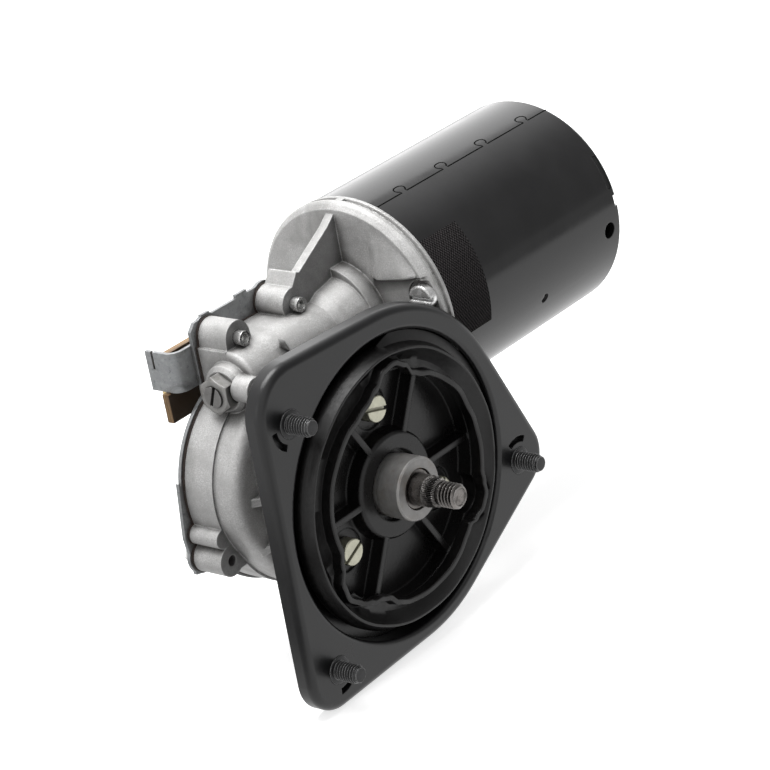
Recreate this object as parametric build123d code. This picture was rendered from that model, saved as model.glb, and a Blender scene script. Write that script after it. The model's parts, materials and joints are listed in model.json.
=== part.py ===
from build123d import *
from math import acos, atan2, cos, degrees, hypot, pi, radians, sin, sqrt, tan
import os

# Frame: origin on the output shaft axis at the front face of the mounting plate.
# The output shaft points to -Y, the motor can lies along +X above it, and +Z is up.

# Fits
RUNNING_CLEARANCE = 0.03
PRESS_CLEARANCE = 0.01
THREAD_CLEARANCE = 0.05
HOLE_CLEARANCE = 0.3
MOTOR_ROOM = 0.5
CUT_REACH = 200.0

# Mounting plate: pressed sheet with a turned-back edge and a rolled hole
PLATE_T = 2.0
PLATE_DEPTH = 6.0
PLATE_BEND_R = 2.5
HOLE_R = 48.7
HOLE_MARGIN = 6.6
HOLE_ROLL_R = 1.6
BRACKET_FLOOR = 7.0
BRACKET_T = 2.6
BRACKET_BACK = BRACKET_FLOOR + BRACKET_T
PLATE_HUB = (0.3, 1.1, HOLE_R + HOLE_MARGIN)
PLATE_CORNER_A = (-38.2, 42.5, 15.6)
PLATE_CORNER_B = (57.5, -17.8, 12.0)
PLATE_CORNER_C = (-42.5, -43.0, 12.3)

# Three pressed-in studs, each as (x, z, direction of its keying slot in degrees)
STUDS = ((-41.6, 40.1, 212.0), (57.0, -18.0, 90.0), (-42.2, -42.4, 296.0))
STUD_R = 3.0
STUD_LENGTH = 8.7
STUD_POINT_R = 2.3
STUD_POINT_LENGTH = 1.5
STUD_RING_R = 4.5
STUD_RING_H = 0.4
STUD_HEAD_R = 6.0
STUD_HEAD_T = 1.6
SLOT_INNER_R = 6.1
SLOT_WIDTH = 2.1
SLOT_SPAN = 64.0

# Front bracket: ribbed hub behind the hole of the plate
BRACKET_R = HOLE_R - THREAD_CLEARANCE
BRACKET_WALL_INSET = 10.3
BRACKET_WALL_R = HOLE_R - BRACKET_WALL_INSET
BRACKET_WALL_T = 1.9
BRACKET_WALL_FRONT = 1.6
RIB_T = 2.0
RIB_FRONT = 2.2
RIB_COUNT = 6
LOBE_INSET = 5.0
LOBE_CIRCLE_R = BRACKET_WALL_R - LOBE_INSET
LOBE_R = 8.6

# Bracket screws, each as (angle, turn of its slot)
SCREWS = ((90.0, -16.0), (210.0, 25.0), (330.0, 60.0))
SCREW_INSET = 7.8
SCREW_CIRCLE_R = LOBE_CIRCLE_R - SCREW_INSET
SCREW_R = 2.45
SCREW_HEAD_R = 4.35
SCREW_HEAD_H = 4.0
SCREW_HEAD_EDGE = 0.5
SCREW_LENGTH = 13.0
SCREW_SLOT_W = 1.2
SCREW_SLOT_DEPTH = 1.3
SPOT_FACE_R = 7.0
SPOT_FACE_DEPTH = 0.8
BOSS_TO_SCREW = 8.6
BRACKET_BOSS_R = SCREW_CIRCLE_R - BOSS_TO_SCREW
BRACKET_BOSS_EDGE = 0.8
BRACKET_BOSS_FLARE = 1.2
BRACKET_BOSS_FRONT = 1.8

# Rubber seal ring between the bracket and the car body
SEAL_CLEARANCE = 0.3
SEAL_GAP = 3.1
SEAL_BASE_R = HOLE_R - SEAL_GAP
SEAL_LIP_INSET = 2.2
SEAL_LIP_R = SEAL_BASE_R - SEAL_LIP_INSET
SEAL_LIP_FRONT = -2.5
SEAL_LIP_SLOPE = 3.4
SEAL_SHOULDER = 4.9
SEAL_INNER_LIP_Y = 0.4

# Output shaft, collar and bushes
SHAFT_R = 5.0
SHAFT_TIP = -23.2
THREAD_R = 4.0
THREAD_LENGTH = 7.0
KNURL_LENGTH = 4.5
KNURL_SMALL_R = 4.4
KNURL_DEPTH = 0.3
KNURL_TEETH = 36
TIP_R = 2.8
TIP_TAPER = 1.2
SHAFT_TAIL = 3.9
COLLAR_R = 10.13
COLLAR_SEAT_R = 9.9
COLLAR_BORE_R = 6.6
COLLAR_FRONT = -6.94
COLLAR_STEP_Y = 1.3
COLLAR_GAP = 1.3
COLLAR_GAP_DEPTH = 3.0
BUSH_LENGTH = 12.0
BUSH_SETBACK = 2.74
SEAL_WASHER_T = 1.0
RING_T = 1.2
RING_R = 6.1
GROOVE_DEPTH = 0.7
THRUST_WASHER_R = 9.2

# Worm gear: the centre distance sets the height of the motor axis
MODULE = 1.25
WHEEL_TEETH = 51
WORM_PITCH_R = 6.025
WORM_TURNS = 8
PRESSURE_ANGLE = 20.0
BACKLASH = 0.08
DEDENDUM = 1.2
WHEEL_WIDTH = 10.0
WHEEL_WEB_T = 4.0
WHEEL_RIM_T = 4.5
HUB_R = 12.0
HUB_LEAD = 1.5
HUB_INSERT_R = 8.0
THRUST_STACK = 2.2
CONTACT_DISC_R = 24.0
CONTACT_DISC_T = 0.8

MOTOR_Y = 41.7
WHEEL_PITCH_R = MODULE * WHEEL_TEETH / 2
MOTOR_Z = WHEEL_PITCH_R + WORM_PITCH_R
WORM_LEAD = pi * MODULE
WORM_OUTER_R = WORM_PITCH_R + MODULE
WORM_ROOT_R = WORM_PITCH_R - DEDENDUM * MODULE
WORM_HALF = WORM_TURNS / 2 * WORM_LEAD
WHEEL_ROOT_R = WHEEL_PITCH_R - DEDENDUM * MODULE
WHEEL_FRONT = MOTOR_Y - WHEEL_WIDTH / 2
WHEEL_BACK = MOTOR_Y + WHEEL_WIDTH / 2
COLLAR_BACK = WHEEL_FRONT - HUB_LEAD - THRUST_STACK
SHAFT_END = WHEEL_BACK + SHAFT_TAIL

# Gear housing: die-cast, split from the back cover by a gasket
PARTING_SETBACK = 0.3
PARTING_Y = MOTOR_Y - PARTING_SETBACK
HOUSING_DEPTH = 11.6
HOUSING_BACK = PARTING_Y + HOUSING_DEPTH
CHAMBER_CLEARANCE = 0.7
CHAMBER_R = WHEEL_PITCH_R + MODULE + CHAMBER_CLEARANCE
CHAMBER_WALL = 3.175
WHEEL_ROOM = 1.0
CHAMBER_FRONT = WHEEL_FRONT - WHEEL_ROOM
HUB_ROOM = 0.6
DOME_T = 4.1
DOME_FRONT = CHAMBER_FRONT - DOME_T
DOME_EDGE_R = 4.0
DOME_INSET = 0.7
DOME_RIB_COUNT = 12
DOME_RIB_T = 2.6
DOME_RIB_PHASE = 22.0
RIM_R = CHAMBER_R + CHAMBER_WALL
RIM_CIRCLES = ((0.0, 0.0, RIM_R), (-8.0, 4.0, RIM_R - 4.8))
DOME_R = RIM_R - DOME_INSET
NECK_R = 16.5
NECK_FLARE = 4.0
POST_R = 6.4
TUBE_R = 11.35
WORM_BORE_CLEARANCE = 0.3
WORM_BORE_END = 2.7
RIM_LEFT = -22.2
RIM_RIGHT = 29.4
RIM_TOP = MOTOR_Z + TUBE_R
EAR_RISE = 13.7
EARS = ((-15.6, MOTOR_Z + EAR_RISE), (11.2, MOTOR_Z + EAR_RISE))
EAR_R = 5.4
LUG_REACH = 3.4
LUG_ANGLES = (201.6, 301.3, 337.5)
LUG_CIRCLE_R = RIM_R + LUG_REACH
LUGS = tuple((LUG_CIRCLE_R * cos(radians(a)), LUG_CIRCLE_R * sin(radians(a))) for a in LUG_ANGLES)
LUG_R = 5.2
LUG_HOLE_R = 1.8
LUG_HOLE_LENGTH = 5.0
RIM_BUMP = (-39.2, -6.6, 3.2)
STUB = (-24.6, MOTOR_Z + 1.4, 4.2)
STUB_Y = (MOTOR_Y - 12.9, MOTOR_Y - 6.1)
ADJUSTER_BOSS_R = 7.9
ADJUSTER_BOSS_EDGE = 1.3
ADJUSTER_BOSS_X = -26.2
STAGE_R = 18.2
STAGE_SETBACK = 2.7
STAGE_Y = MOTOR_Y + STAGE_SETBACK
GUSSET_T = 3.2

# Bell: the end of the housing that carries the motor can
CAN_R = 37.2
CAN_X0 = 42.7
BELL_LENGTH = 6.5
BELL_X = CAN_X0 - BELL_LENGTH
BELL_STEP = 0.3
BELL_R = CAN_R - BELL_STEP
BELL_EDGE = 1.4
FLANGE_R = CAN_R + BELL_STEP
FLANGE_GROOVE = 1.0
BRIDGE_ANGLE = 90.4
BELL_WALL = 3.2
BELL_FLOOR_X = BELL_X + BELL_WALL
SPIGOT_LENGTH = 3.3
SPIGOT_T = 4.75
STAGE_LENGTH = 6.2
STAGE_X = BELL_X - STAGE_LENGTH
CONE_LENGTH = 12.0
CONE_LIP = 3.0
CONE_GROWTH = 3.6

# Back cover, gasket and cover screws
GASKET_T = 0.8
COVER_T = 1.2
COVER_OVERHANG = 0.9
COVER_TABS = ((-17.2, -13.4), (-1.0, 4.0))
COVER_TAB_RISE = 1.1
PAN_DEPTH = 3.0
PAN_INSET = 7.5
COVER_SCREW_R = 2.4
EAR_SCREW_REACH = 3.1
COVER_SCREW_HEAD_R = 4.4
COVER_SCREW_HEAD_H = 2.8
EAR_SCREW_TIP = PARTING_Y - EAR_SCREW_REACH
GASKET_Y = HOUSING_BACK
COVER_Y = GASKET_Y + GASKET_T
COVER_BACK = COVER_Y + COVER_T
PAN_FLOOR = COVER_Y + PAN_DEPTH
WORM_BORE_R = WORM_OUTER_R + WORM_BORE_CLEARANCE
WORM_BORE_X = -WORM_HALF - WORM_BORE_END

# Park switch parts inside the cover and the terminals behind it
BOARD_MARGIN = 2.3
BOARD_R = RIM_R - PAN_INSET - COVER_T - BOARD_MARGIN
BOARD_T = 2.0
TRACK_RADII = (14.2, 18.5, 22.2)
FINGER_REACH = 8.0
FINGER_W = 2.4
FINGER_T = 0.4
FINGER_GAP = 0.05
TERMINAL_BOARD_X = (-32.0, -9.0)
TERMINAL_BOARD_Z = (27.0, 49.2)
TERMINAL_BOARD_GAP = 5.0
TERMINAL_BOARD_Y = COVER_BACK + TERMINAL_BOARD_GAP
TERMINAL_BOARD_T = 2.6
RIVETS = ((-14.0, 31.5), (-14.0, 43.5))
RIVET_R = 1.5
RIVET_SPACER_R = 2.8
RIVET_HEAD_R = 2.4
RIVET_HEAD_H = 0.6
BLADE_W = 3.2
BLADE_T = 0.8
BLADE_LENGTH = 4.4
BLADE_FOOT = 8.0
BLADE_X = -27.6
BLADE_COUNT = 4
CLIP_X = -30.2
CLIP_Z = (37.0, 50.2)
CLIP_REACH = 7.6
CLIP_END_Y = TERMINAL_BOARD_Y + CLIP_REACH
CLIP_T = 1.2
CLIP_BEND_R = 3.0
CLIP_FOOT_X = -21.0
CLIP_SLIT_W = 0.9
CLIP_SLIT_LENGTH = 6.0
CLIP_SLIT_SETBACK = 2.4

# Motor can and what it holds
CAN_T = 2.0
CAN_LENGTH = 92.0
CAN_EDGE_R = 1.2
MAGNET_T = 8.2
AIR_GAP = 1.0
CAN_BORE_R = CAN_R - CAN_T
CORE_R = CAN_BORE_R - MAGNET_T - AIR_GAP
CORE_SLOTS = 12
SLOT_DEPTH = 11.0
SLOT_OPENING = 1.6
CORE_SLOT_W = 4.4
CORE_TOOTH_TIP = 2.0
WINDING_R = CORE_R - CORE_TOOTH_TIP
WINDING_WALL = 4.0
WINDING_OVERHANG = 6.5
WINDING_EDGE_R = 2.5
WINDING_CLEARANCE = 0.1
MAGNET_SPAN = 138.0
MAGNET_OVERHANG = 4.0
BOLT_ANGLE = 164.2
BOLT_INSET = 2.2
BOLT_CIRCLE_R = CAN_BORE_R - BOLT_INSET
BOLT_R = 1.9
BOLT_HEAD_R = 4.4
BOLT_HEAD_H = 3.2
POCKET_DEPTH = 1.6
POCKET_MARGIN = 1.4
MOTOR_SHAFT_R = 4.4
BEARING_R = 8.0
BEARING_LENGTH = 9.0
FRONT_BEARING_LEAD = 10.7
FRONT_BEARING_X = BELL_X - FRONT_BEARING_LEAD
SPIGOT_X = CAN_X0 + SPIGOT_LENGTH
COMMUTATOR_R = 11.0
COMMUTATOR_GAP = 3.0
COMMUTATOR_X = SPIGOT_X + COMMUTATOR_GAP
COMMUTATOR_LENGTH = 12.5
COMMUTATOR_RISER = 1.5
COMMUTATOR_BARS = 12
BRUSH_ANGLES = (74.2, 254.2, 314.2)
BRUSH_PLATE_T = 2.0
BRUSH_PLATE_BORE = 13.5
BRUSH_AXIAL = 5.0
BRUSH_W = 6.4
BRUSH_LENGTH = 11.0
BRUSH_PLAY = 0.1
HOLDER_T = 0.8
SPRING_LENGTH = 5.0
SPRING_R = 1.9
END_PLATE_T = 1.8
END_PLATE_SETBACK = 1.4
TAB_ANGLES = (156.5, 276.5, 36.5)
TAB_SPAN = 19.0
TAB_PLAY = 0.05
HOLDER_CUP_T = 5.0
CAN_HOLE_R = 2.8
CAN_HOLE_ANGLE = 186.5
CAN_HOLE_SETBACK = 6.7
NOTCH_ANGLES = (170.0, 176.0)
NOTCH_DEPTH = 1.9
DIMPLE_R = 1.7
DIMPLE_DEPTH = 0.6
DIMPLE_ANGLE = 202.2
DIMPLE_SETBACK = 43.0
TAPE_T = 0.3
TAPE_X = (CAN_X0 + 0.3, CAN_X0 + 18.3)
TAPE_ANGLES = (139.0, 193.0)
CAN_X1 = CAN_X0 + CAN_LENGTH
END_PLATE_X1 = CAN_X1 - END_PLATE_SETBACK
END_PLATE_X0 = END_PLATE_X1 - END_PLATE_T
REAR_GAP = 1.0
REAR_BEARING_X = END_PLATE_X0 - REAR_GAP - BEARING_LENGTH
CUP_GAP = 3.0
CORE_GAP = 2.0
CORE_X = COMMUTATOR_X + COMMUTATOR_LENGTH + CORE_GAP + WINDING_OVERHANG
CORE_END = REAR_BEARING_X - CUP_GAP - WINDING_OVERHANG

# Adjuster that sets the end play of the worm
ADJUSTER_R = 3.5
ADJUSTER_TIP = -31.0
ADJUSTER_END = -19.6
ADJUSTER_SLOT_TURN = 111.8
NUT_FLATS = 11.0
NUT_T = 4.2
NUT_TURN = 26.5
NUT_CHAMFER = 0.6
PAD_R = 3.0
PAD_LENGTH = 2.0


def across(y):
    """Sketch plane at height y along the output shaft: x to the right, z up."""
    return Plane(origin=(0, y, 0), x_dir=(1, 0, 0), z_dir=(0, -1, 0))


def slab(sketch, y_front, y_back):
    """Extrude an x-z sketch from y_front back to y_back."""
    return extrude(across(y_front) * sketch, amount=y_front - y_back)


def disc(radius, y_front, y_back, x=0.0, z=0.0):
    return slab(Pos(x, z) * Circle(radius), y_front, y_back)


def motor_slab(sketch, x0, x1):
    """Extrude along the motor axis a sketch with +Y to the right and +Z up."""
    plane = Plane(origin=(x0, MOTOR_Y, MOTOR_Z), x_dir=(0, 1, 0), z_dir=(1, 0, 0))
    return extrude(plane * sketch, amount=x1 - x0)


def motor_ring(outer, inner, x0, x1):
    return motor_slab(Circle(outer) - Circle(inner), x0, x1)


def motor_disc(radius, x0, x1):
    return motor_slab(Circle(radius), x0, x1)


def turned(points):
    """Revolve an (r, y) outline about the output shaft axis."""
    return revolve(make_face(Polyline(points, close=True)), Axis.Y)


def motor_turned(points):
    """Revolve an (x, r) outline about the motor axis."""
    solid = revolve(make_face(Polyline(points, close=True)), Axis.X)
    return Pos(0, MOTOR_Y, MOTOR_Z) * solid


def polar(radius, angle):
    return radius * cos(radians(angle)), radius * sin(radians(angle))


def box(x, y, z):
    """Solid between pairs of limits."""
    size = (x[1] - x[0], y[1] - y[0], z[1] - z[0])
    centre = ((x[0] + x[1]) / 2, (y[0] + y[1]) / 2, (z[0] + z[1]) / 2)
    return Pos(*centre) * Box(*size)


def rectangle(x, z):
    """Flat rectangle between pairs of limits."""
    return Pos((x[0] + x[1]) / 2, (z[0] + z[1]) / 2) * Rectangle(x[1] - x[0], z[1] - z[0])


def sector(outer, inner, start, stop):
    """Part of a ring between two angles."""
    middle = (start + stop) / 2
    outer_points = [polar(outer, a) for a in (start, middle, stop)]
    inner_points = [polar(inner, a) for a in (stop, middle, start)]
    edges = [
        ThreePointArc(*outer_points),
        Line(outer_points[2], inner_points[0]),
        ThreePointArc(*inner_points),
        Line(inner_points[2], outer_points[0]),
    ]
    return make_face(edges)


def tangent_outline(circles, grow=0.0):
    """Outline round the circles (x, z, r), taken anticlockwise, by their outer tangents."""
    count = len(circles)
    normals = []
    for i in range(count):
        x0, z0, r0 = circles[i]
        x1, z1, r1 = circles[(i + 1) % count]
        heading = atan2(z1 - z0, x1 - x0)
        normals.append(heading - acos((r0 - r1) / hypot(x1 - x0, z1 - z0)))
    edges = []
    for i in range(count):
        x, z, r = circles[i]
        x2, z2, r2 = circles[(i + 1) % count]
        start = normals[i - 1]
        turn = (normals[i] - start) % (2 * pi)
        angles = (start, start + turn / 2, start + turn)
        arc = [(x + (r + grow) * cos(a), z + (r + grow) * sin(a)) for a in angles]
        reach = r2 + grow
        edges.append(ThreePointArc(*arc))
        edges.append(Line(arc[2], (x2 + reach * cos(angles[2]), z2 + reach * sin(angles[2]))))
    return make_face(edges)


# Mounting plate and studs

def motor_room():
    """Space that the bell and the can need behind the plate, with room to spare."""
    return motor_disc(FLANGE_R + MOTOR_ROOM, BELL_X - MOTOR_ROOM, CAN_X1)


def plate_outline(grow=0.0):
    return tangent_outline((PLATE_CORNER_B, PLATE_HUB, PLATE_CORNER_A, PLATE_CORNER_C, PLATE_HUB), grow)


def stud_slot(x, z, angle):
    """Slot along an arc round the stud."""
    half = SLOT_SPAN / 2
    return Pos(x, z) * sector(SLOT_INNER_R + SLOT_WIDTH, SLOT_INNER_R, angle - half, angle + half)


def mounting_plate():
    shell = slab(plate_outline(), 0, PLATE_DEPTH)
    shell = fillet(shell.faces().sort_by(Axis.Y)[0].outer_wire().edges(), PLATE_BEND_R)
    hollow = slab(plate_outline(-PLATE_T), PLATE_T, PLATE_DEPTH)
    hollow = fillet(hollow.faces().sort_by(Axis.Y)[0].outer_wire().edges(), PLATE_BEND_R - PLATE_T)
    collar = disc(HOLE_R + PLATE_T, PLATE_T / 2, BRACKET_BACK)
    plate = shell - hollow + collar - disc(HOLE_R, -1, BRACKET_BACK + 1)
    front_ring = plate.faces().sort_by(Axis.Y)[0].inner_wires().edges()
    plate = fillet(front_ring, HOLE_ROLL_R)
    for x, z, angle in STUDS:
        plate -= disc(STUD_RING_R + PRESS_CLEARANCE, -1, PLATE_T + 1, x, z)
        plate -= slab(stud_slot(x, z, angle), -1, PLATE_T + 1)
    return plate - motor_room()


def mounting_stud(x, z):
    shank = STUD_POINT_LENGTH - STUD_LENGTH
    outline = (
        (0, -STUD_LENGTH),
        (STUD_POINT_R, -STUD_LENGTH),
        (STUD_POINT_R, shank - (STUD_R - STUD_POINT_R)),
        (STUD_R, shank),
        (STUD_R, -STUD_RING_H),
        (STUD_RING_R, -STUD_RING_H),
        (STUD_RING_R, PLATE_T),
        (STUD_HEAD_R, PLATE_T),
        (STUD_HEAD_R, PLATE_T + STUD_HEAD_T),
        (0, PLATE_T + STUD_HEAD_T),
    )
    return Pos(x, 0, z) * turned(outline)


def mounting_studs():
    return [mounting_stud(x, z) for x, z, _ in STUDS]


# Front bracket, its screws and the seal ring

def lobed_disc(grow=0.0):
    shape = Circle(BRACKET_WALL_R + grow)
    for angle, _ in SCREWS:
        shape += Pos(*polar(LOBE_CIRCLE_R, angle)) * Circle(LOBE_R + grow)
    return shape


def front_bracket():
    floor_in = BRACKET_FLOOR + 1
    body = disc(BRACKET_R, BRACKET_FLOOR, BRACKET_BACK)
    body += slab(lobed_disc() - lobed_disc(-BRACKET_WALL_T), BRACKET_WALL_FRONT, floor_in)
    rib_end = BRACKET_WALL_R - BRACKET_WALL_T / 2
    for i in range(RIB_COUNT):
        rib = Rot(0, 0, i * 360 / RIB_COUNT) * rectangle((0, rib_end), (-RIB_T / 2, RIB_T / 2))
        body += slab(rib, RIB_FRONT, floor_in)
    body += turned((
        (0, BRACKET_BOSS_FRONT),
        (BRACKET_BOSS_R - BRACKET_BOSS_EDGE, BRACKET_BOSS_FRONT),
        (BRACKET_BOSS_R, BRACKET_BOSS_FRONT + BRACKET_BOSS_EDGE),
        (BRACKET_BOSS_R + BRACKET_BOSS_FLARE, floor_in),
        (0, floor_in),
    ))
    body -= disc(COLLAR_R + COLLAR_GAP, BRACKET_BOSS_FRONT - 1, BRACKET_BOSS_FRONT + COLLAR_GAP_DEPTH)
    body -= disc(COLLAR_SEAT_R + RUNNING_CLEARANCE, BRACKET_BOSS_FRONT - 1, BRACKET_BACK + 1)
    for angle, _ in SCREWS:
        x, z = polar(SCREW_CIRCLE_R, angle)
        body -= disc(SPOT_FACE_R, BRACKET_FLOOR - 0.01, BRACKET_FLOOR + SPOT_FACE_DEPTH, x, z)
        body -= disc(SCREW_R + HOLE_CLEARANCE, 0, BRACKET_BACK + 1, x, z)
    return body - motor_room()


def bracket_screw(angle, slot_turn):
    seat = BRACKET_FLOOR + SPOT_FACE_DEPTH
    top = seat - SCREW_HEAD_H
    x, z = polar(SCREW_CIRCLE_R, angle)
    screw = disc(SCREW_HEAD_R, top, seat, x, z)
    screw = fillet(screw.faces().sort_by(Axis.Y)[0].edges(), SCREW_HEAD_EDGE)
    screw += disc(SCREW_R, seat, seat + SCREW_LENGTH, x, z)
    slot = Pos(x, z) * Rot(0, 0, slot_turn) * Rectangle(3 * SCREW_HEAD_R, SCREW_SLOT_W)
    return screw - slab(slot, top - 1, top + SCREW_SLOT_DEPTH)


def bracket_screws():
    return [bracket_screw(angle, slot_turn) for angle, slot_turn in SCREWS]


def plate_seal():
    back = BRACKET_FLOOR - SEAL_CLEARANCE
    inner = LOBE_CIRCLE_R
    ring = turned((
        (inner, back),
        (inner, SEAL_INNER_LIP_Y),
        (SEAL_LIP_R - SEAL_LIP_SLOPE, SEAL_INNER_LIP_Y),
        (SEAL_LIP_R - 1.2, SEAL_LIP_FRONT + 1.1),
        (SEAL_LIP_R - 0.5, SEAL_LIP_FRONT),
        (SEAL_LIP_R + 0.3, SEAL_LIP_FRONT),
        (SEAL_LIP_R + 0.7, SEAL_LIP_FRONT + 1.3),
        (SEAL_BASE_R, SEAL_LIP_FRONT + SEAL_SHOULDER),
        (SEAL_BASE_R, back),
    ))
    ring -= slab(lobed_disc(SEAL_CLEARANCE), SEAL_LIP_FRONT - 1, back + 1)
    return ring - motor_room()


# Output shaft, collar and bushes

def knurl_section(y, radius):
    points = []
    for i in range(KNURL_TEETH):
        points.append(polar(radius, i * 360 / KNURL_TEETH))
        points.append(polar(radius - KNURL_DEPTH, (i + 0.5) * 360 / KNURL_TEETH))
    return across(y) * make_face(Polyline(points, close=True))


def ring_places():
    """Front faces of the two retaining rings."""
    washer_front = COLLAR_FRONT + BUSH_SETBACK - SEAL_WASHER_T
    return washer_front - RUNNING_CLEARANCE - RING_T, WHEEL_BACK


def output_shaft():
    knurl_y = SHAFT_TIP + THREAD_LENGTH
    body_y = knurl_y + KNURL_LENGTH
    thread = turned((
        (0, SHAFT_TIP),
        (TIP_R, SHAFT_TIP),
        (THREAD_R, SHAFT_TIP + TIP_TAPER),
        (THREAD_R, knurl_y),
        (0, knurl_y),
    ))
    knurl = loft([knurl_section(knurl_y, KNURL_SMALL_R), knurl_section(body_y, SHAFT_R)], ruled=True)
    body = turned((
        (0, body_y),
        (SHAFT_R, body_y),
        (SHAFT_R, SHAFT_END - 1),
        (SHAFT_R - 1, SHAFT_END),
        (0, SHAFT_END),
    ))
    shaft = thread + knurl + body
    for y in ring_places():
        shaft -= slab(Circle(SHAFT_R + 1) - Circle(SHAFT_R - GROOVE_DEPTH), y, y + RING_T)
    return shaft


def retaining_rings():
    ring = Circle(RING_R) - Circle(SHAFT_R - GROOVE_DEPTH + PRESS_CLEARANCE)
    ring -= rectangle((0, RING_R + 1), (-1.6, 1.6))
    return [slab(ring, y, y + RING_T) for y in ring_places()]


def bearing_collar():
    return turned((
        (COLLAR_BORE_R, COLLAR_FRONT),
        (COLLAR_R - 0.5, COLLAR_FRONT),
        (COLLAR_R, COLLAR_FRONT + 0.5),
        (COLLAR_R, COLLAR_STEP_Y),
        (COLLAR_SEAT_R, COLLAR_STEP_Y),
        (COLLAR_SEAT_R, COLLAR_BACK),
        (COLLAR_BORE_R, COLLAR_BACK),
    ))


def shaft_bushes():
    ring = Circle(COLLAR_BORE_R - PRESS_CLEARANCE) - Circle(SHAFT_R + RUNNING_CLEARANCE)
    starts = (COLLAR_FRONT + BUSH_SETBACK, COLLAR_BACK - BUSH_LENGTH)
    return [slab(ring, y, y + BUSH_LENGTH) for y in starts]


def shaft_seal_washer():
    ring = Circle(COLLAR_BORE_R - PRESS_CLEARANCE) - Circle(SHAFT_R + THREAD_CLEARANCE)
    back = COLLAR_FRONT + BUSH_SETBACK
    return slab(ring, back - SEAL_WASHER_T, back)


def thrust_washers():
    """Steel and fibre washer between the collar and the gear hub."""
    ring = Circle(THRUST_WASHER_R) - Circle(SHAFT_R + PRESS_CLEARANCE)
    front = COLLAR_BACK + RUNNING_CLEARANCE
    back = WHEEL_FRONT - HUB_LEAD
    middle = (front + back) / 2
    return [slab(ring, front, middle), slab(ring, middle, back)]


# Worm gear

def involute(radius, base_r):
    """Angle that an involute has turned through at a radius."""
    if radius <= base_r:
        return 0.0
    roll = sqrt((radius / base_r) ** 2 - 1)
    return roll - atan2(roll, 1.0)


def wheel_profile(turn):
    """Toothed outline with a tooth space at the top, turned by some degrees."""
    base_r = WHEEL_PITCH_R * cos(radians(PRESSURE_ANGLE))
    half_tooth = pi / (2 * WHEEL_TEETH) - BACKLASH / WHEEL_PITCH_R
    at_pitch = involute(WHEEL_PITCH_R, base_r)
    radii = (WHEEL_ROOT_R, WHEEL_PITCH_R, WHEEL_PITCH_R + MODULE)
    flank = [(r, half_tooth + at_pitch - involute(r, base_r)) for r in radii]
    points = []
    for i in range(WHEEL_TEETH):
        centre = radians(90 + turn) + (i + 0.5) * 2 * pi / WHEEL_TEETH
        points += [(r * cos(centre - a), r * sin(centre - a)) for r, a in flank]
        points += [(r * cos(centre + a), r * sin(centre + a)) for r, a in reversed(flank)]
    return make_face(Polyline(points, close=True))


def drive_gear():
    slope = MODULE / (2 * WORM_PITCH_R)
    twist = degrees(slope * WHEEL_WIDTH / 2 / WHEEL_PITCH_R)
    sections = [across(WHEEL_FRONT) * wheel_profile(twist), across(WHEEL_BACK) * wheel_profile(-twist)]
    gear = loft(sections, ruled=True)
    recess = Circle(WHEEL_ROOT_R - WHEEL_RIM_T) - Circle(HUB_R)
    gear -= slab(recess, WHEEL_FRONT - 1, MOTOR_Y - WHEEL_WEB_T / 2)
    gear -= slab(recess, MOTOR_Y + WHEEL_WEB_T / 2, WHEEL_BACK + 1)
    gear += disc(HUB_R, WHEEL_FRONT - HUB_LEAD, MOTOR_Y)
    return gear - disc(HUB_INSERT_R, WHEEL_FRONT - HUB_LEAD - 1, WHEEL_BACK + 1)


def gear_hub():
    ring = Circle(HUB_INSERT_R - PRESS_CLEARANCE) - Circle(SHAFT_R + PRESS_CLEARANCE)
    return slab(ring, WHEEL_FRONT - HUB_LEAD, WHEEL_BACK)


def contact_disc():
    """Park switch disc on the back of the gear, on three legs, with a gap in its middle track."""
    track = TRACK_RADII[1]
    plate = Circle(CONTACT_DISC_R) - Circle(HUB_R + 0.5)
    plate -= rectangle((track - 1.6, track + 1.6), (-4.5, 4.5))
    body = slab(plate, WHEEL_BACK, WHEEL_BACK + CONTACT_DISC_T)
    for angle in (90, 210, 330):
        x, z = polar(TRACK_RADII[0] + 2, angle)
        body += disc(1.2, MOTOR_Y + WHEEL_WEB_T / 2, WHEEL_BACK, x, z)
    return body


def worm_thread():
    slope = tan(radians(PRESSURE_ANGLE))
    sink = DEDENDUM * MODULE + 0.2
    pitch_half = WORM_LEAD / 4 - BACKLASH
    tip_half = pitch_half - MODULE * slope
    root_half = pitch_half + sink * slope
    corners = (
        (WORM_PITCH_R - sink, -root_half),
        (WORM_OUTER_R, -tip_half),
        (WORM_OUTER_R, tip_half),
        (WORM_PITCH_R - sink, root_half),
    )
    start = Plane(origin=(-WORM_HALF, MOTOR_Y, MOTOR_Z), x_dir=(0, 0, -1), z_dir=(1, 0, 0))
    path = Helix(pitch=WORM_LEAD, height=2 * WORM_HALF, radius=WORM_PITCH_R)
    profile = Plane.XZ * make_face(Polyline(corners, close=True))
    return start * sweep(profile, path=path, is_frenet=True)


def armature_shaft():
    root = WORM_HALF + 1.0
    end = REAR_BEARING_X + BEARING_LENGTH
    left = ADJUSTER_END + PAD_LENGTH + RUNNING_CLEARANCE
    core = motor_turned((
        (left, 0),
        (left, 2.4),
        (left + 0.6, 2.9),
        (-root, WORM_ROOT_R),
        (root, WORM_ROOT_R),
        (root + 0.8, MOTOR_SHAFT_R),
        (end - 1.0, MOTOR_SHAFT_R),
        (end, MOTOR_SHAFT_R - 1.0),
        (end, 0),
    ))
    return core + worm_thread()


# Gear housing

def lug_arm(x, z, grow):
    return tangent_outline(((0.0, 0.0, RIM_R / 2), (0.93 * x, 0.93 * z, LUG_R)), grow)


def ear_arm(grow):
    """Wall that runs from the first ear down to the left end of the worm tunnel."""
    x, z = EARS[0]
    return tangent_outline(((x, z, EAR_R), (RIM_LEFT + EAR_R, MOTOR_Z, EAR_R), (x + 2, MOTOR_Z, EAR_R)), grow)


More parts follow.
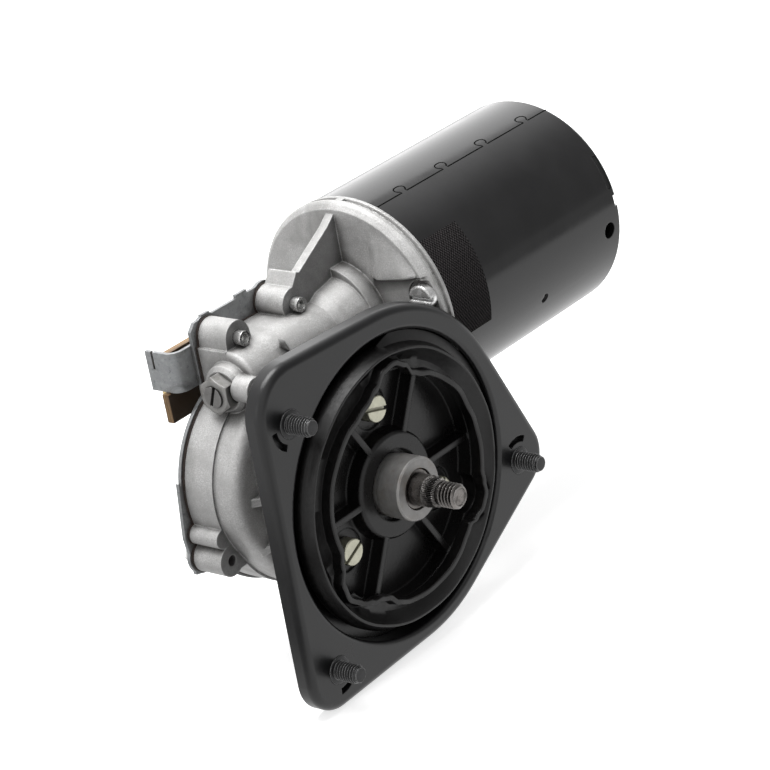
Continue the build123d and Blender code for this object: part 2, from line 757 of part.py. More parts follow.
def rim_outline(grow=0.0):
    """Outline of the housing's rim: gear chamber, worm tunnel, ears and lugs."""
    shape = tangent_outline(RIM_CIRCLES, grow)
    shape += rectangle((RIM_LEFT - grow, RIM_RIGHT), (RIM_R / 2, RIM_TOP + grow))
    shape += ear_arm(grow)
    for x, z in EARS:
        shape += Pos(x, z) * Circle(EAR_R + grow)
    for x, z in LUGS:
        shape += Pos(x, z) * Circle(LUG_R + grow)
        shape += lug_arm(x, z, grow)
    shape += Pos(RIM_BUMP[0], RIM_BUMP[1]) * Circle(RIM_BUMP[2] + grow)
    return shape


def dome():
    """Closed front of the gear chamber, with low ribs from the neck out to its side wall."""
    body = slab(tangent_outline(RIM_CIRCLES, -DOME_INSET), DOME_FRONT, PARTING_Y + 1)
    body = fillet(body.faces().sort_by(Axis.Y)[0].edges(), DOME_EDGE_R)
    rib_outline = (
        (NECK_R - 2, DOME_FRONT - 13),
        (NECK_R + 4, DOME_FRONT - 11),
        (DOME_R - 6, DOME_FRONT - 3),
        (DOME_R - 0.6, DOME_FRONT + 1.2),
        (DOME_R - 0.2, DOME_FRONT + 3),
        (NECK_R - 2, DOME_FRONT + 3),
    )
    rib = extrude(make_face(Polyline(rib_outline, close=True)), amount=DOME_RIB_T / 2, both=True)
    for i in range(DOME_RIB_COUNT):
        body += Rot(0, -DOME_RIB_PHASE - i * 360 / DOME_RIB_COUNT, 0) * rib
    return body


def neck_and_posts():
    inside = DOME_FRONT + 1
    body = turned(((0, BRACKET_BACK), (NECK_R, BRACKET_BACK), (NECK_R + NECK_FLARE, inside), (0, inside)))
    for angle, _ in SCREWS:
        x, z = polar(SCREW_CIRCLE_R, angle)
        body += disc(POST_R, BRACKET_BACK, DOME_FRONT + 1, x, z)
    return body


def worm_tube():
    cone = STAGE_X - CONE_LENGTH
    body = motor_disc(TUBE_R, RIM_LEFT, BELL_X)
    body = fillet(body.faces().sort_by(Axis.X)[0].edges(), 1.5)
    body += motor_turned((
        (ADJUSTER_BOSS_X, 0),
        (ADJUSTER_BOSS_X, ADJUSTER_BOSS_R - ADJUSTER_BOSS_EDGE),
        (ADJUSTER_BOSS_X + ADJUSTER_BOSS_EDGE, ADJUSTER_BOSS_R),
        (RIM_LEFT + 1, ADJUSTER_BOSS_R + 0.6),
        (RIM_LEFT + 1, 0),
    ))
    body += motor_turned((
        (cone, 0),
        (cone, TUBE_R),
        (cone + CONE_LIP, TUBE_R + CONE_GROWTH / 2),
        (STAGE_X, TUBE_R + CONE_GROWTH),
        (STAGE_X, 0),
    ))
    body += disc(STUB[2], STUB_Y[0], STUB_Y[1], STUB[0], STUB[1])
    behind = box((-CUT_REACH, STAGE_X), (HOUSING_BACK, CUT_REACH), (0, CUT_REACH))
    body -= behind
    return body + motor_slab(Pos(STAGE_Y - MOTOR_Y, 0) * Circle(STAGE_R), STAGE_X, BELL_X + 0.5)


def gusset():
    """Triangular web on the parting plane from the second ear up to the bell, and the block behind it."""
    x, z = EARS[1]
    top = MOTOR_Z + BELL_R - 2.5
    corners = (
        (x - 4.4, z + 3.0),
        (x + 0.5, z + 5.3),
        (x + 3.6, z + 9.2),
        (x + 4.6, z + 8.6),
        (x + 21.0, z + 17.4),
        (BELL_X + 0.5, top),
        (BELL_X + 0.5, RIM_TOP - 5),
        (x - 4.0, RIM_TOP - 5),
    )
    block = (
        (x - 2.5, z + 4.2),
        (x + 0.5, z + 5.3),
        (x + 3.6, z + 9.2),
        (x + 5.4, z + 8.4),
        (x + 6.6, z),
        (x, z),
    )
    body = slab(make_face(Polyline(corners, close=True)), PARTING_Y, PARTING_Y + GUSSET_T)
    return body + slab(make_face(Polyline(block, close=True)), PARTING_Y, HOUSING_BACK)


def bolt_places():
    return [polar(BOLT_CIRCLE_R, angle) for angle in (BOLT_ANGLE, BOLT_ANGLE + 180)]


def bell():
    ridge = (CAN_X0 - BELL_X - BELL_EDGE) / 5
    spigot_r = CAN_BORE_R - THREAD_CLEARANCE
    xs = [BELL_X + BELL_EDGE + i * ridge for i in range(6)]
    body = motor_turned((
        (BELL_X, 0),
        (BELL_X, BELL_R - BELL_EDGE),
        (xs[0], BELL_R),
        (xs[1], FLANGE_R),
        (xs[2], FLANGE_R),
        (xs[2] + 0.4, FLANGE_R - FLANGE_GROOVE),
        (xs[3] + 0.4, FLANGE_R - FLANGE_GROOVE),
        (xs[4], FLANGE_R),
        (CAN_X0, FLANGE_R),
        (CAN_X0, spigot_r),
        (SPIGOT_X, spigot_r),
        (SPIGOT_X, spigot_r - SPIGOT_T),
        (BELL_FLOOR_X, spigot_r - SPIGOT_T),
        (BELL_FLOOR_X, 0),
    ))
    for y, z in bolt_places():
        radius = BOLT_HEAD_R + POCKET_MARGIN
        pocket = Circle(radius) + rectangle((-radius, radius), (-2.2 * radius, 0))
        body -= motor_slab(Pos(y, z) * pocket, BELL_X - 1, BELL_X + POCKET_DEPTH)
    groove = (BELL_X + BELL_EDGE, CAN_X0)
    bridge = sector(FLANGE_R, FLANGE_R - 2 * FLANGE_GROOVE, BRIDGE_ANGLE - 2, BRIDGE_ANGLE + 2)
    return body + motor_slab(bridge, groove[0] + ridge, groove[1] - ridge)


def gear_housing():
    body = slab(rim_outline(), PARTING_Y, HOUSING_BACK)
    body += dome()
    body += neck_and_posts()
    body += worm_tube()
    body += gusset()
    body += bell()
    body -= disc(CHAMBER_R, CHAMBER_FRONT, HOUSING_BACK + 1)
    body -= disc(HUB_R + CHAMBER_CLEARANCE, COLLAR_BACK + HUB_ROOM, CHAMBER_FRONT + 1)
    body -= disc(COLLAR_SEAT_R + PRESS_CLEARANCE, 0, CHAMBER_FRONT + 1)
    body -= motor_disc(WORM_BORE_R, WORM_BORE_X, FRONT_BEARING_X)
    body -= motor_disc(BEARING_R, FRONT_BEARING_X, BELL_FLOOR_X + 1)
    body -= motor_disc(ADJUSTER_R + THREAD_CLEARANCE, ADJUSTER_BOSS_X - 1, WORM_BORE_X + 1)
    for angle, _ in SCREWS:
        x, z = polar(SCREW_CIRCLE_R, angle)
        tip = BRACKET_FLOOR + SPOT_FACE_DEPTH + SCREW_LENGTH
        body -= disc(SCREW_R + THREAD_CLEARANCE, BRACKET_BACK - 1, tip + 1, x, z)
    for x, z in EARS:
        body -= disc(COVER_SCREW_R + THREAD_CLEARANCE, EAR_SCREW_TIP, HOUSING_BACK + 1, x, z)
    for x, z in LUGS:
        body -= disc(LUG_HOLE_R, PARTING_Y - 1, HOUSING_BACK + 1, x, z)
        body -= disc(COVER_SCREW_R + THREAD_CLEARANCE, PARTING_Y + LUG_HOLE_LENGTH, HOUSING_BACK + 1, x, z)
    for y, z in bolt_places():
        body -= motor_slab(Pos(y, z) * Circle(BOLT_R + BRUSH_PLAY), BELL_X, SPIGOT_X + 1)
    return body


# Back cover, gasket and cover screws

def screw_holes(y_front, y_back):
    holes = [disc(COVER_SCREW_R + HOLE_CLEARANCE, y_front, y_back, x, z) for x, z in (*EARS, *LUGS)]
    return holes


def bell_room():
    """Space behind the rim that the neck stage and the bell take up, with room to spare."""
    stage = motor_slab(Pos(STAGE_Y - MOTOR_Y, 0) * Circle(STAGE_R + MOTOR_ROOM), STAGE_X - MOTOR_ROOM, BELL_X)
    return stage + motor_room()


def cover_gasket():
    body = slab(rim_outline(0.2), GASKET_Y, GASKET_Y + GASKET_T)
    body -= disc(CHAMBER_R, GASKET_Y - 1, COVER_Y + 1)
    body -= screw_holes(GASKET_Y - 1, COVER_Y + 1)
    return body - bell_room()


def cover_outline():
    """Rim outline with a straight top edge and a cut lower left corner."""
    left = RIM_LEFT - COVER_OVERHANG
    x, z = EARS[1]
    top = z + EAR_R
    bump_x, bump_z, bump_r = RIM_BUMP
    lug_x, lug_z = LUGS[0]
    head = (
        (left, z - 12),
        (left, top - 2.4),
        (left + 2.4, top),
        (x, top),
        (x + EAR_R + 0.7, z + 2.2),
        (x + EAR_R + 0.7, z - 12),
    )
    corner = (
        (bump_x - bump_r + 1, bump_z + 18),
        (bump_x - bump_r - 1.2, bump_z),
        (lug_x - LUG_R + 0.6, lug_z - 5.0),
        (lug_x + 3, lug_z - 7),
        (bump_x + 15, bump_z),
    )
    shape = rim_outline(COVER_OVERHANG) + make_face(Polyline(head, close=True))
    return shape + make_face(Polyline(corner, close=True))


def back_cover():
    body = slab(cover_outline(), COVER_Y, COVER_BACK)
    body += slab(tangent_outline(RIM_CIRCLES, -PAN_INSET), COVER_Y, PAN_FLOOR + COVER_T)
    body -= slab(tangent_outline(RIM_CIRCLES, -PAN_INSET - COVER_T), COVER_Y - 1, PAN_FLOOR)
    top = EARS[1][1] + EAR_R
    for limits in COVER_TABS:
        body += box(limits, (COVER_Y, COVER_BACK), (top - 1, top + COVER_TAB_RISE))
    body -= screw_holes(COVER_Y - 1, COVER_BACK + 1)
    for x, z in RIVETS:
        body -= disc(RIVET_R, COVER_Y - 1, COVER_BACK + 1, x, z)
    return body - bell_room()


def cover_screw(x, z, tip):
    screw = disc(COVER_SCREW_R, tip, COVER_BACK, x, z)
    head = Pos(x, z) * RegularPolygon(COVER_SCREW_HEAD_R, 6)
    screw += slab(head, COVER_BACK, COVER_BACK + COVER_SCREW_HEAD_H)
    return screw - disc(COVER_SCREW_R - 0.9, tip - 1, tip + 1.5, x, z)


def cover_screws():
    long_ones = [cover_screw(x, z, EAR_SCREW_TIP) for x, z in EARS]
    return long_ones + [cover_screw(x, z, PARTING_Y + LUG_HOLE_LENGTH + 0.5) for x, z in LUGS]


# Park switch contacts and terminals

def contact_board():
    return slab(Circle(BOARD_R) - Circle(SHAFT_R + 2), PAN_FLOOR - BOARD_T, PAN_FLOOR)


def contact_springs():
    """Three spring fingers that rub on the tracks of the park switch disc."""
    back = PAN_FLOOR - BOARD_T
    touch = WHEEL_BACK + CONTACT_DISC_T + FINGER_GAP
    side = (
        (0, back),
        (6.0, back),
        (6.0, back - FINGER_T),
        (0.6, back - FINGER_T),
        (0.6 - FINGER_REACH, touch),
        (-0.6 - FINGER_REACH, touch),
        (-0.6 - FINGER_REACH, touch + FINGER_T),
        (0.4 - FINGER_REACH, touch + FINGER_T),
    )
    strip = extrude(make_face(Polyline(side, close=True)), amount=FINGER_W / 2, both=True)
    return [Pos(0, 0, sqrt(r ** 2 - FINGER_REACH ** 2)) * strip for r in TRACK_RADII]


def terminal_board():
    """Insulating board with a step that lets the guard strip pass."""
    left, right = TERMINAL_BOARD_X
    low, high = TERMINAL_BOARD_Z
    outline = rectangle((left, right), (low, high))
    outline -= rectangle((left - 1, CLIP_X + CLIP_T), (CLIP_Z[0] - 0.5, high + 1))
    for x, z in RIVETS:
        outline -= Pos(x, z) * Circle(RIVET_R)
    return slab(outline, TERMINAL_BOARD_Y, TERMINAL_BOARD_Y + TERMINAL_BOARD_T)


def terminal_rivets():
    """Two rivets with spacer collars that carry the board on the cover."""
    board_back = TERMINAL_BOARD_Y + TERMINAL_BOARD_T
    rivets = []
    for x, z in RIVETS:
        rivet = disc(RIVET_R - PRESS_CLEARANCE, COVER_Y, board_back + RIVET_HEAD_H, x, z)
        rivet += disc(RIVET_SPACER_R, COVER_BACK, TERMINAL_BOARD_Y, x, z)
        rivet += disc(RIVET_HEAD_R, board_back, board_back + RIVET_HEAD_H, x, z)
        rivets.append(rivet)
    return rivets


def terminal_blades():
    y = TERMINAL_BOARD_Y + TERMINAL_BOARD_T
    step = (TERMINAL_BOARD_Z[1] - TERMINAL_BOARD_Z[0]) / BLADE_COUNT
    blades = []
    for i in range(BLADE_COUNT):
        middle = TERMINAL_BOARD_Z[0] + (i + 0.5) * step
        z = (middle - BLADE_W / 2, middle + BLADE_W / 2)
        foot = box((BLADE_X, BLADE_X + BLADE_FOOT), (y, y + BLADE_T), z)
        blades.append(foot + box((BLADE_X, BLADE_X + BLADE_T), (y, y + BLADE_LENGTH), z))
    return blades


def terminal_clip():
    """Galvanised guard strip, from the edge of the cover round to the back."""
    inner = CLIP_BEND_R
    outer = CLIP_BEND_R + CLIP_T
    front = COVER_BACK
    left = CLIP_X - CLIP_T / 2
    middle = radians(225)
    centre = (left + outer, front + outer)
    on_outer = (centre[0] + outer * cos(middle), centre[1] + outer * sin(middle))
    on_inner = (centre[0] + inner * cos(middle), centre[1] + inner * sin(middle))
    edges = [
        Line((CLIP_FOOT_X, front), (left + outer, front)),
        ThreePointArc((left + outer, front), on_outer, (left, front + outer)),
        Line((left, front + outer), (left, CLIP_END_Y)),
        Line((left, CLIP_END_Y), (left + CLIP_T, CLIP_END_Y)),
        Line((left + CLIP_T, CLIP_END_Y), (left + CLIP_T, front + outer)),
        ThreePointArc((left + CLIP_T, front + outer), on_inner, (left + outer, front + CLIP_T)),
        Line((left + outer, front + CLIP_T), (CLIP_FOOT_X, front + CLIP_T)),
        Line((CLIP_FOOT_X, front + CLIP_T), (CLIP_FOOT_X, front)),
    ]
    strip = Pos(0, 0, CLIP_Z[0]) * extrude(make_face(edges), amount=CLIP_Z[1] - CLIP_Z[0])
    slit_y = CLIP_END_Y - CLIP_SLIT_SETBACK
    slit_x = (left - 1, left + CLIP_T + 1)
    return strip - box(slit_x, (slit_y - CLIP_SLIT_W, slit_y), (CLIP_Z[1] - CLIP_SLIT_LENGTH, CLIP_Z[1] + 1))


# Adjuster, worm shaft bearings and armature

def adjusting_screw():
    screw = motor_disc(ADJUSTER_R, ADJUSTER_TIP, ADJUSTER_END)
    slot = Rot(0, 0, ADJUSTER_SLOT_TURN) * Rectangle(3 * ADJUSTER_R, SCREW_SLOT_W)
    return screw - motor_slab(slot, ADJUSTER_TIP - 1, ADJUSTER_TIP + SCREW_SLOT_DEPTH)


def lock_nut():
    hexagon = Rot(0, 0, NUT_TURN) * RegularPolygon(NUT_FLATS / 2, 6, major_radius=False)
    nut = motor_slab(hexagon - Circle(ADJUSTER_R + THREAD_CLEARANCE), ADJUSTER_BOSS_X - NUT_T, ADJUSTER_BOSS_X)
    front = ADJUSTER_BOSS_X - NUT_T
    corner_r = NUT_FLATS / sqrt(3)
    envelope = motor_turned((
        (front, 0),
        (front, corner_r - 2 * NUT_CHAMFER),
        (front + NUT_CHAMFER, corner_r + 0.1),
        (ADJUSTER_BOSS_X, corner_r + 0.1),
        (ADJUSTER_BOSS_X, 0),
    ))
    return nut & envelope


def thrust_pad():
    return motor_disc(PAD_R, ADJUSTER_END, ADJUSTER_END + PAD_LENGTH)


def bearing(x):
    inner = MOTOR_SHAFT_R + RUNNING_CLEARANCE
    return motor_ring(BEARING_R - PRESS_CLEARANCE, inner, x, x + BEARING_LENGTH)


def armature_core():
    """Laminated pack with open slots for the coils."""
    sketch = Circle(CORE_R) - Circle(MOTOR_SHAFT_R + PRESS_CLEARANCE)
    slot_top = WINDING_R
    for i in range(CORE_SLOTS):
        slot = rectangle((slot_top - SLOT_DEPTH, slot_top), (-CORE_SLOT_W / 2, CORE_SLOT_W / 2))
        slot += rectangle((slot_top - 1, CORE_R + 1), (-SLOT_OPENING / 2, SLOT_OPENING / 2))
        sketch -= Rot(0, 0, i * 360 / CORE_SLOTS) * slot
    return motor_slab(sketch, CORE_X, CORE_END)


def armature_windings():
    """Coil sides in the slots, joined by the end turns at both ends."""
    play = WINDING_CLEARANCE
    half = CORE_SLOT_W / 2 - play
    end = CORE_END
    bore = WINDING_R - SLOT_DEPTH - WINDING_WALL
    side = rectangle((WINDING_R - SLOT_DEPTH + play, WINDING_R - play), (-half, half))
    front = motor_ring(WINDING_R - play, bore, CORE_X - WINDING_OVERHANG, CORE_X)
    rear = motor_ring(WINDING_R - play, bore, end, end + WINDING_OVERHANG)
    front = fillet(front.faces().sort_by(Axis.X)[0].edges(), WINDING_EDGE_R)
    rear = fillet(rear.faces().sort_by(Axis.X)[-1].edges(), WINDING_EDGE_R)
    body = front + rear
    for i in range(CORE_SLOTS):
        body += motor_slab(Rot(0, 0, i * 360 / CORE_SLOTS) * side, CORE_X - 1, end + 1)
    return body


def commutator():
    x1 = COMMUTATOR_X + COMMUTATOR_LENGTH
    bore = MOTOR_SHAFT_R + PRESS_CLEARANCE
    body = motor_ring(COMMUTATOR_R, bore, COMMUTATOR_X, x1)
    body += motor_ring(COMMUTATOR_R + COMMUTATOR_RISER, bore, x1 - 2, x1)
    reach = COMMUTATOR_R + COMMUTATOR_RISER + 1
    for i in range(COMMUTATOR_BARS):
        gap = Rot(0, 0, (i + 0.5) * 360 / COMMUTATOR_BARS) * rectangle((COMMUTATOR_R - 1, reach), (-0.3, 0.3))
        body -= motor_slab(gap, COMMUTATOR_X - 1, x1 + 1)
    return body


# Motor can, magnets and brush gear

def magnets():
    outer = CAN_BORE_R - PRESS_CLEARANCE
    inner = CORE_R + AIR_GAP
    x0 = CORE_X - MAGNET_OVERHANG
    x1 = CORE_END + MAGNET_OVERHANG
    segments = []
    for middle in (BOLT_ANGLE - 90, BOLT_ANGLE + 90):
        arc = sector(outer, inner, middle - MAGNET_SPAN / 2, middle + MAGNET_SPAN / 2)
        segments.append(motor_slab(arc, x0, x1))
    return segments


def brush_x():
    return SPIGOT_X + BRUSH_PLATE_T + HOLDER_T + BRUSH_PLAY


def brush_plate():
    sketch = Circle(CAN_BORE_R - THREAD_CLEARANCE) - Circle(BRUSH_PLATE_BORE)
    for y, z in bolt_places():
        sketch -= Pos(y, z) * Circle(BOLT_R + BRUSH_PLAY)
    return motor_slab(sketch, SPIGOT_X, SPIGOT_X + BRUSH_PLATE_T)


def brush(angle):
    sketch = Rot(0, 0, angle) * rectangle((COMMUTATOR_R - 1, COMMUTATOR_R + BRUSH_LENGTH), (-BRUSH_W / 2, BRUSH_W / 2))
    sketch -= Circle(COMMUTATOR_R + THREAD_CLEARANCE)
    return motor_slab(sketch, brush_x(), brush_x() + BRUSH_AXIAL)


def brushes():
    return [brush(angle) for angle in BRUSH_ANGLES]


def brush_holder(angle):
    """Box round a brush, closed at its outer end behind the spring."""
    inner_end = COMMUTATOR_R + COMMUTATOR_RISER + 1.0
    outer_end = COMMUTATOR_R + BRUSH_LENGTH + SPRING_LENGTH + HOLDER_T
    half = BRUSH_W / 2 + BRUSH_PLAY
    shell = rectangle((inner_end, outer_end), (-half - HOLDER_T, half + HOLDER_T))
    room = rectangle((inner_end - 1, outer_end - HOLDER_T), (-half, half))
    x0 = SPIGOT_X + BRUSH_PLATE_T
    body = motor_slab(Rot(0, 0, angle) * shell, x0, brush_x() + BRUSH_AXIAL + BRUSH_PLAY + HOLDER_T)
    return body - motor_slab(Rot(0, 0, angle) * room, brush_x() - BRUSH_PLAY, brush_x() + BRUSH_AXIAL + BRUSH_PLAY)


def brush_holders():
    return [brush_holder(angle) for angle in BRUSH_ANGLES]


def brush_springs():
    """Envelope of the coil spring behind each brush."""
    springs = []
    middle = brush_x() + BRUSH_AXIAL / 2
    for angle in BRUSH_ANGLES:
        y, z = polar(COMMUTATOR_R + BRUSH_LENGTH, angle)
        dy, dz = polar(1.0, angle)
        foot = Plane(origin=(middle, MOTOR_Y + y, MOTOR_Z + z), x_dir=(1, 0, 0), z_dir=(0, dy, dz))
        springs.append(extrude(foot * (Circle(SPRING_R) - Circle(SPRING_R - 0.6)), amount=SPRING_LENGTH))
    return springs


def tab_sector(middle, play):
    span = TAB_SPAN / 2
    edge = degrees(play / CAN_R)
    return sector(CAN_R + 1, CAN_BORE_R - 1, middle - span - edge, middle + span + edge)


def motor_can():
    body = motor_ring(CAN_R, CAN_BORE_R, CAN_X0, CAN_X1)
    body = fillet(body.faces().sort_by(Axis.X)[-1].outer_wire().edges(), CAN_EDGE_R)
    for middle in TAB_ANGLES:
        body -= motor_slab(tab_sector(middle, TAB_PLAY), END_PLATE_X0 - TAB_PLAY, END_PLATE_X1 + TAB_PLAY)
    notch = sector(CAN_R + 1, CAN_BORE_R - 1, *NOTCH_ANGLES)
    body -= motor_slab(notch, CAN_X1 - NOTCH_DEPTH, CAN_X1 + 1)
    dy, dz = polar(1.0, CAN_HOLE_ANGLE)
    centre = (CAN_X1 - CAN_HOLE_SETBACK, MOTOR_Y, MOTOR_Z)
    side = Plane(origin=centre, x_dir=(1, 0, 0), z_dir=(0, dy, dz))
    body -= extrude(side * Circle(CAN_HOLE_R), amount=CAN_R + 1)
    y, z = polar(CAN_R - DIMPLE_DEPTH, DIMPLE_ANGLE)
    floor = (CAN_X1 - DIMPLE_SETBACK, MOTOR_Y + y, MOTOR_Z + z)
    dimple = Plane(origin=floor, x_dir=(1, 0, 0), z_dir=(0, y, z))
    return body - extrude(dimple * Circle(DIMPLE_R), amount=DIMPLE_DEPTH + 1)


def end_plate():
    """Closing plate with the rear bearing cup and tabs through the can's slots."""
    sketch = Circle(CAN_BORE_R - THREAD_CLEARANCE)
    for middle in TAB_ANGLES:
        span = TAB_SPAN / 2
        sketch += sector(CAN_R - 0.2, CAN_BORE_R - 2, middle - span, middle + span)
    for y, z in bolt_places():
        sketch -= Pos(y, z) * Circle(BOLT_R + THREAD_CLEARANCE)
    body = motor_slab(sketch, END_PLATE_X0, END_PLATE_X1)
    return body + motor_ring(BEARING_R + HOLDER_CUP_T, BEARING_R, REAR_BEARING_X, END_PLATE_X0)


def can_bolts():
    bolts = []
    seat = BELL_X + POCKET_DEPTH
    for y, z in bolt_places():
        bolt = motor_slab(Pos(y, z) * Circle(BOLT_R), seat, END_PLATE_X1)
        bolt += motor_slab(Pos(y, z) * Circle(BOLT_HEAD_R), seat - BOLT_HEAD_H, seat)
        slot = Pos(y, z) * Rectangle(3 * BOLT_HEAD_R, SCREW_SLOT_W)
        bolt -= motor_slab(slot, seat - BOLT_HEAD_H - 1, seat - BOLT_HEAD_H + SCREW_SLOT_DEPTH)
        bolts.append(bolt)
    return bolts


def tape_patch():
    return motor_slab(sector(CAN_R + TAPE_T, CAN_R, *TAPE_ANGLES), *TAPE_X)


SUBPARTS = {
    "mounting_plate": mounting_plate,
    "mounting_studs": mounting_studs,
    "front_bracket": front_bracket,
    "bracket_screws": bracket_screws,
    "plate_seal": plate_seal,
    "output_shaft": output_shaft,
    "retaining_rings": retaining_rings,
    "bearing_collar": bearing_collar,
    "shaft_bushes": shaft_bushes,
    "shaft_seal_washer": shaft_seal_washer,
    "thrust_washers": thrust_washers,
    "drive_gear": drive_gear,
    "gear_hub": gear_hub,
    "contact_disc": contact_disc,
    "gear_housing": gear_housing,
    "cover_gasket": cover_gasket,
    "back_cover": back_cover,
    "cover_screws": cover_screws,
    "contact_board": contact_board,
    "contact_springs": contact_springs,
    "terminal_board": terminal_board,
    "terminal_rivets": terminal_rivets,
    "terminal_blades": terminal_blades,
    "terminal_clip": terminal_clip,
    "adjusting_screw": adjusting_screw,
    "lock_nut": lock_nut,
    "thrust_pad": thrust_pad,
    "armature_shaft": armature_shaft,
    "armature_core": armature_core,
    "armature_windings": armature_windings,
    "commutator": commutator,
    "front_bearing": lambda: bearing(FRONT_BEARING_X),
    "rear_bearing": lambda: bearing(REAR_BEARING_X),
    "magnets": magnets,
    "brush_plate": brush_plate,
    "brush_holders": brush_holders,
    "brushes": brushes,
    "brush_springs": brush_springs,
    "motor_can": motor_can,
    "end_plate": end_plate,
    "can_bolts": can_bolts,
    "tape_patch": tape_patch,
}

os.makedirs("parts", exist_ok=True)
for name, build in SUBPARTS.items():
    made = build()
    shape = Compound(children=made) if isinstance(made, list) else made
    export_step(shape, f"parts/{name}.step")
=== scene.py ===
import json
import math

import bpy
from mathutils import Matrix, Vector


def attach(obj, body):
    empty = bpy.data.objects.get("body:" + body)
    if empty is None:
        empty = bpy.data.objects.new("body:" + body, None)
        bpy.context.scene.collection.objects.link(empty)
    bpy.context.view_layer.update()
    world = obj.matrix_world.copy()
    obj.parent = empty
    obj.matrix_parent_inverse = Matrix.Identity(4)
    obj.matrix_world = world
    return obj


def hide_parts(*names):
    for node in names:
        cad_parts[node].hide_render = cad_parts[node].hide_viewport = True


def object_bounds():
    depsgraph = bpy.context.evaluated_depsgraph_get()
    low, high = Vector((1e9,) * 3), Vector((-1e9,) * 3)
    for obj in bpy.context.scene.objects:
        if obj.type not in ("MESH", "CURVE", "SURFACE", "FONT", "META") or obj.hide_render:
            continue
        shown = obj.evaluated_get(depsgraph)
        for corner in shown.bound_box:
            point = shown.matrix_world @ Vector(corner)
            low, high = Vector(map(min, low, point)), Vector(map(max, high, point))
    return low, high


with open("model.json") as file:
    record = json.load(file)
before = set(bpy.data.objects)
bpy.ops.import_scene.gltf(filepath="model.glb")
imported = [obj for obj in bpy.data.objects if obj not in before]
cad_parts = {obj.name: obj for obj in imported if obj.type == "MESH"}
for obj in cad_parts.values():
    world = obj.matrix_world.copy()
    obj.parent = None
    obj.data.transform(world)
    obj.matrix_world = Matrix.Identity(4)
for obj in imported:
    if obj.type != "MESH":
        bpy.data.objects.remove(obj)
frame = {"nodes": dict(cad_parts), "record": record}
CAD_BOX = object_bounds()

# Lengths on the object are in millimetres, and become metres where a mesh or a node is made. The lights, the world and
# the floor are in metres. First a millimetre in metres, and a metre in millimetres.
MM = 0.001
METRE = 1000

MOTOR_Y = 41.7
MOTOR_Z = 37.9
CAN_R = 37.2
TAPE_R = 37.5

# Ledge over the bolt pocket of the bell: its ends in y, its height at the inner end and its slope
LEDGE_Y = (9.0, 29.6)
LEDGE_Z = 51.4
LEDGE_SLOPE = 0.1117


# Node helpers for the procedural materials, the world and the floor

def emptied_tree(owner):
    """Node tree of a material or world, with nothing in it."""
    owner.use_nodes = True
    owner.node_tree.nodes.clear()
    return owner.node_tree


def add_node(tree, kind, inputs=None, **options):
    """Add a node, set its options, then set or link its inputs by name or index."""
    made = tree.nodes.new(kind)
    for option, value in options.items():
        setattr(made, option, value)
    for key, value in (inputs or {}).items():
        if isinstance(value, bpy.types.NodeSocket):
            tree.links.new(value, made.inputs[key])
        else:
            made.inputs[key].default_value = value
    return made


def map_range(tree, value, limits, curve="LINEAR"):
    """Take a value from between the first two limits to between the last two."""
    inputs = {"Value": value}
    inputs.update(zip(("From Min", "From Max", "To Min", "To Max"), limits))
    return add_node(tree, "ShaderNodeMapRange", inputs, interpolation_type=curve).outputs[0]


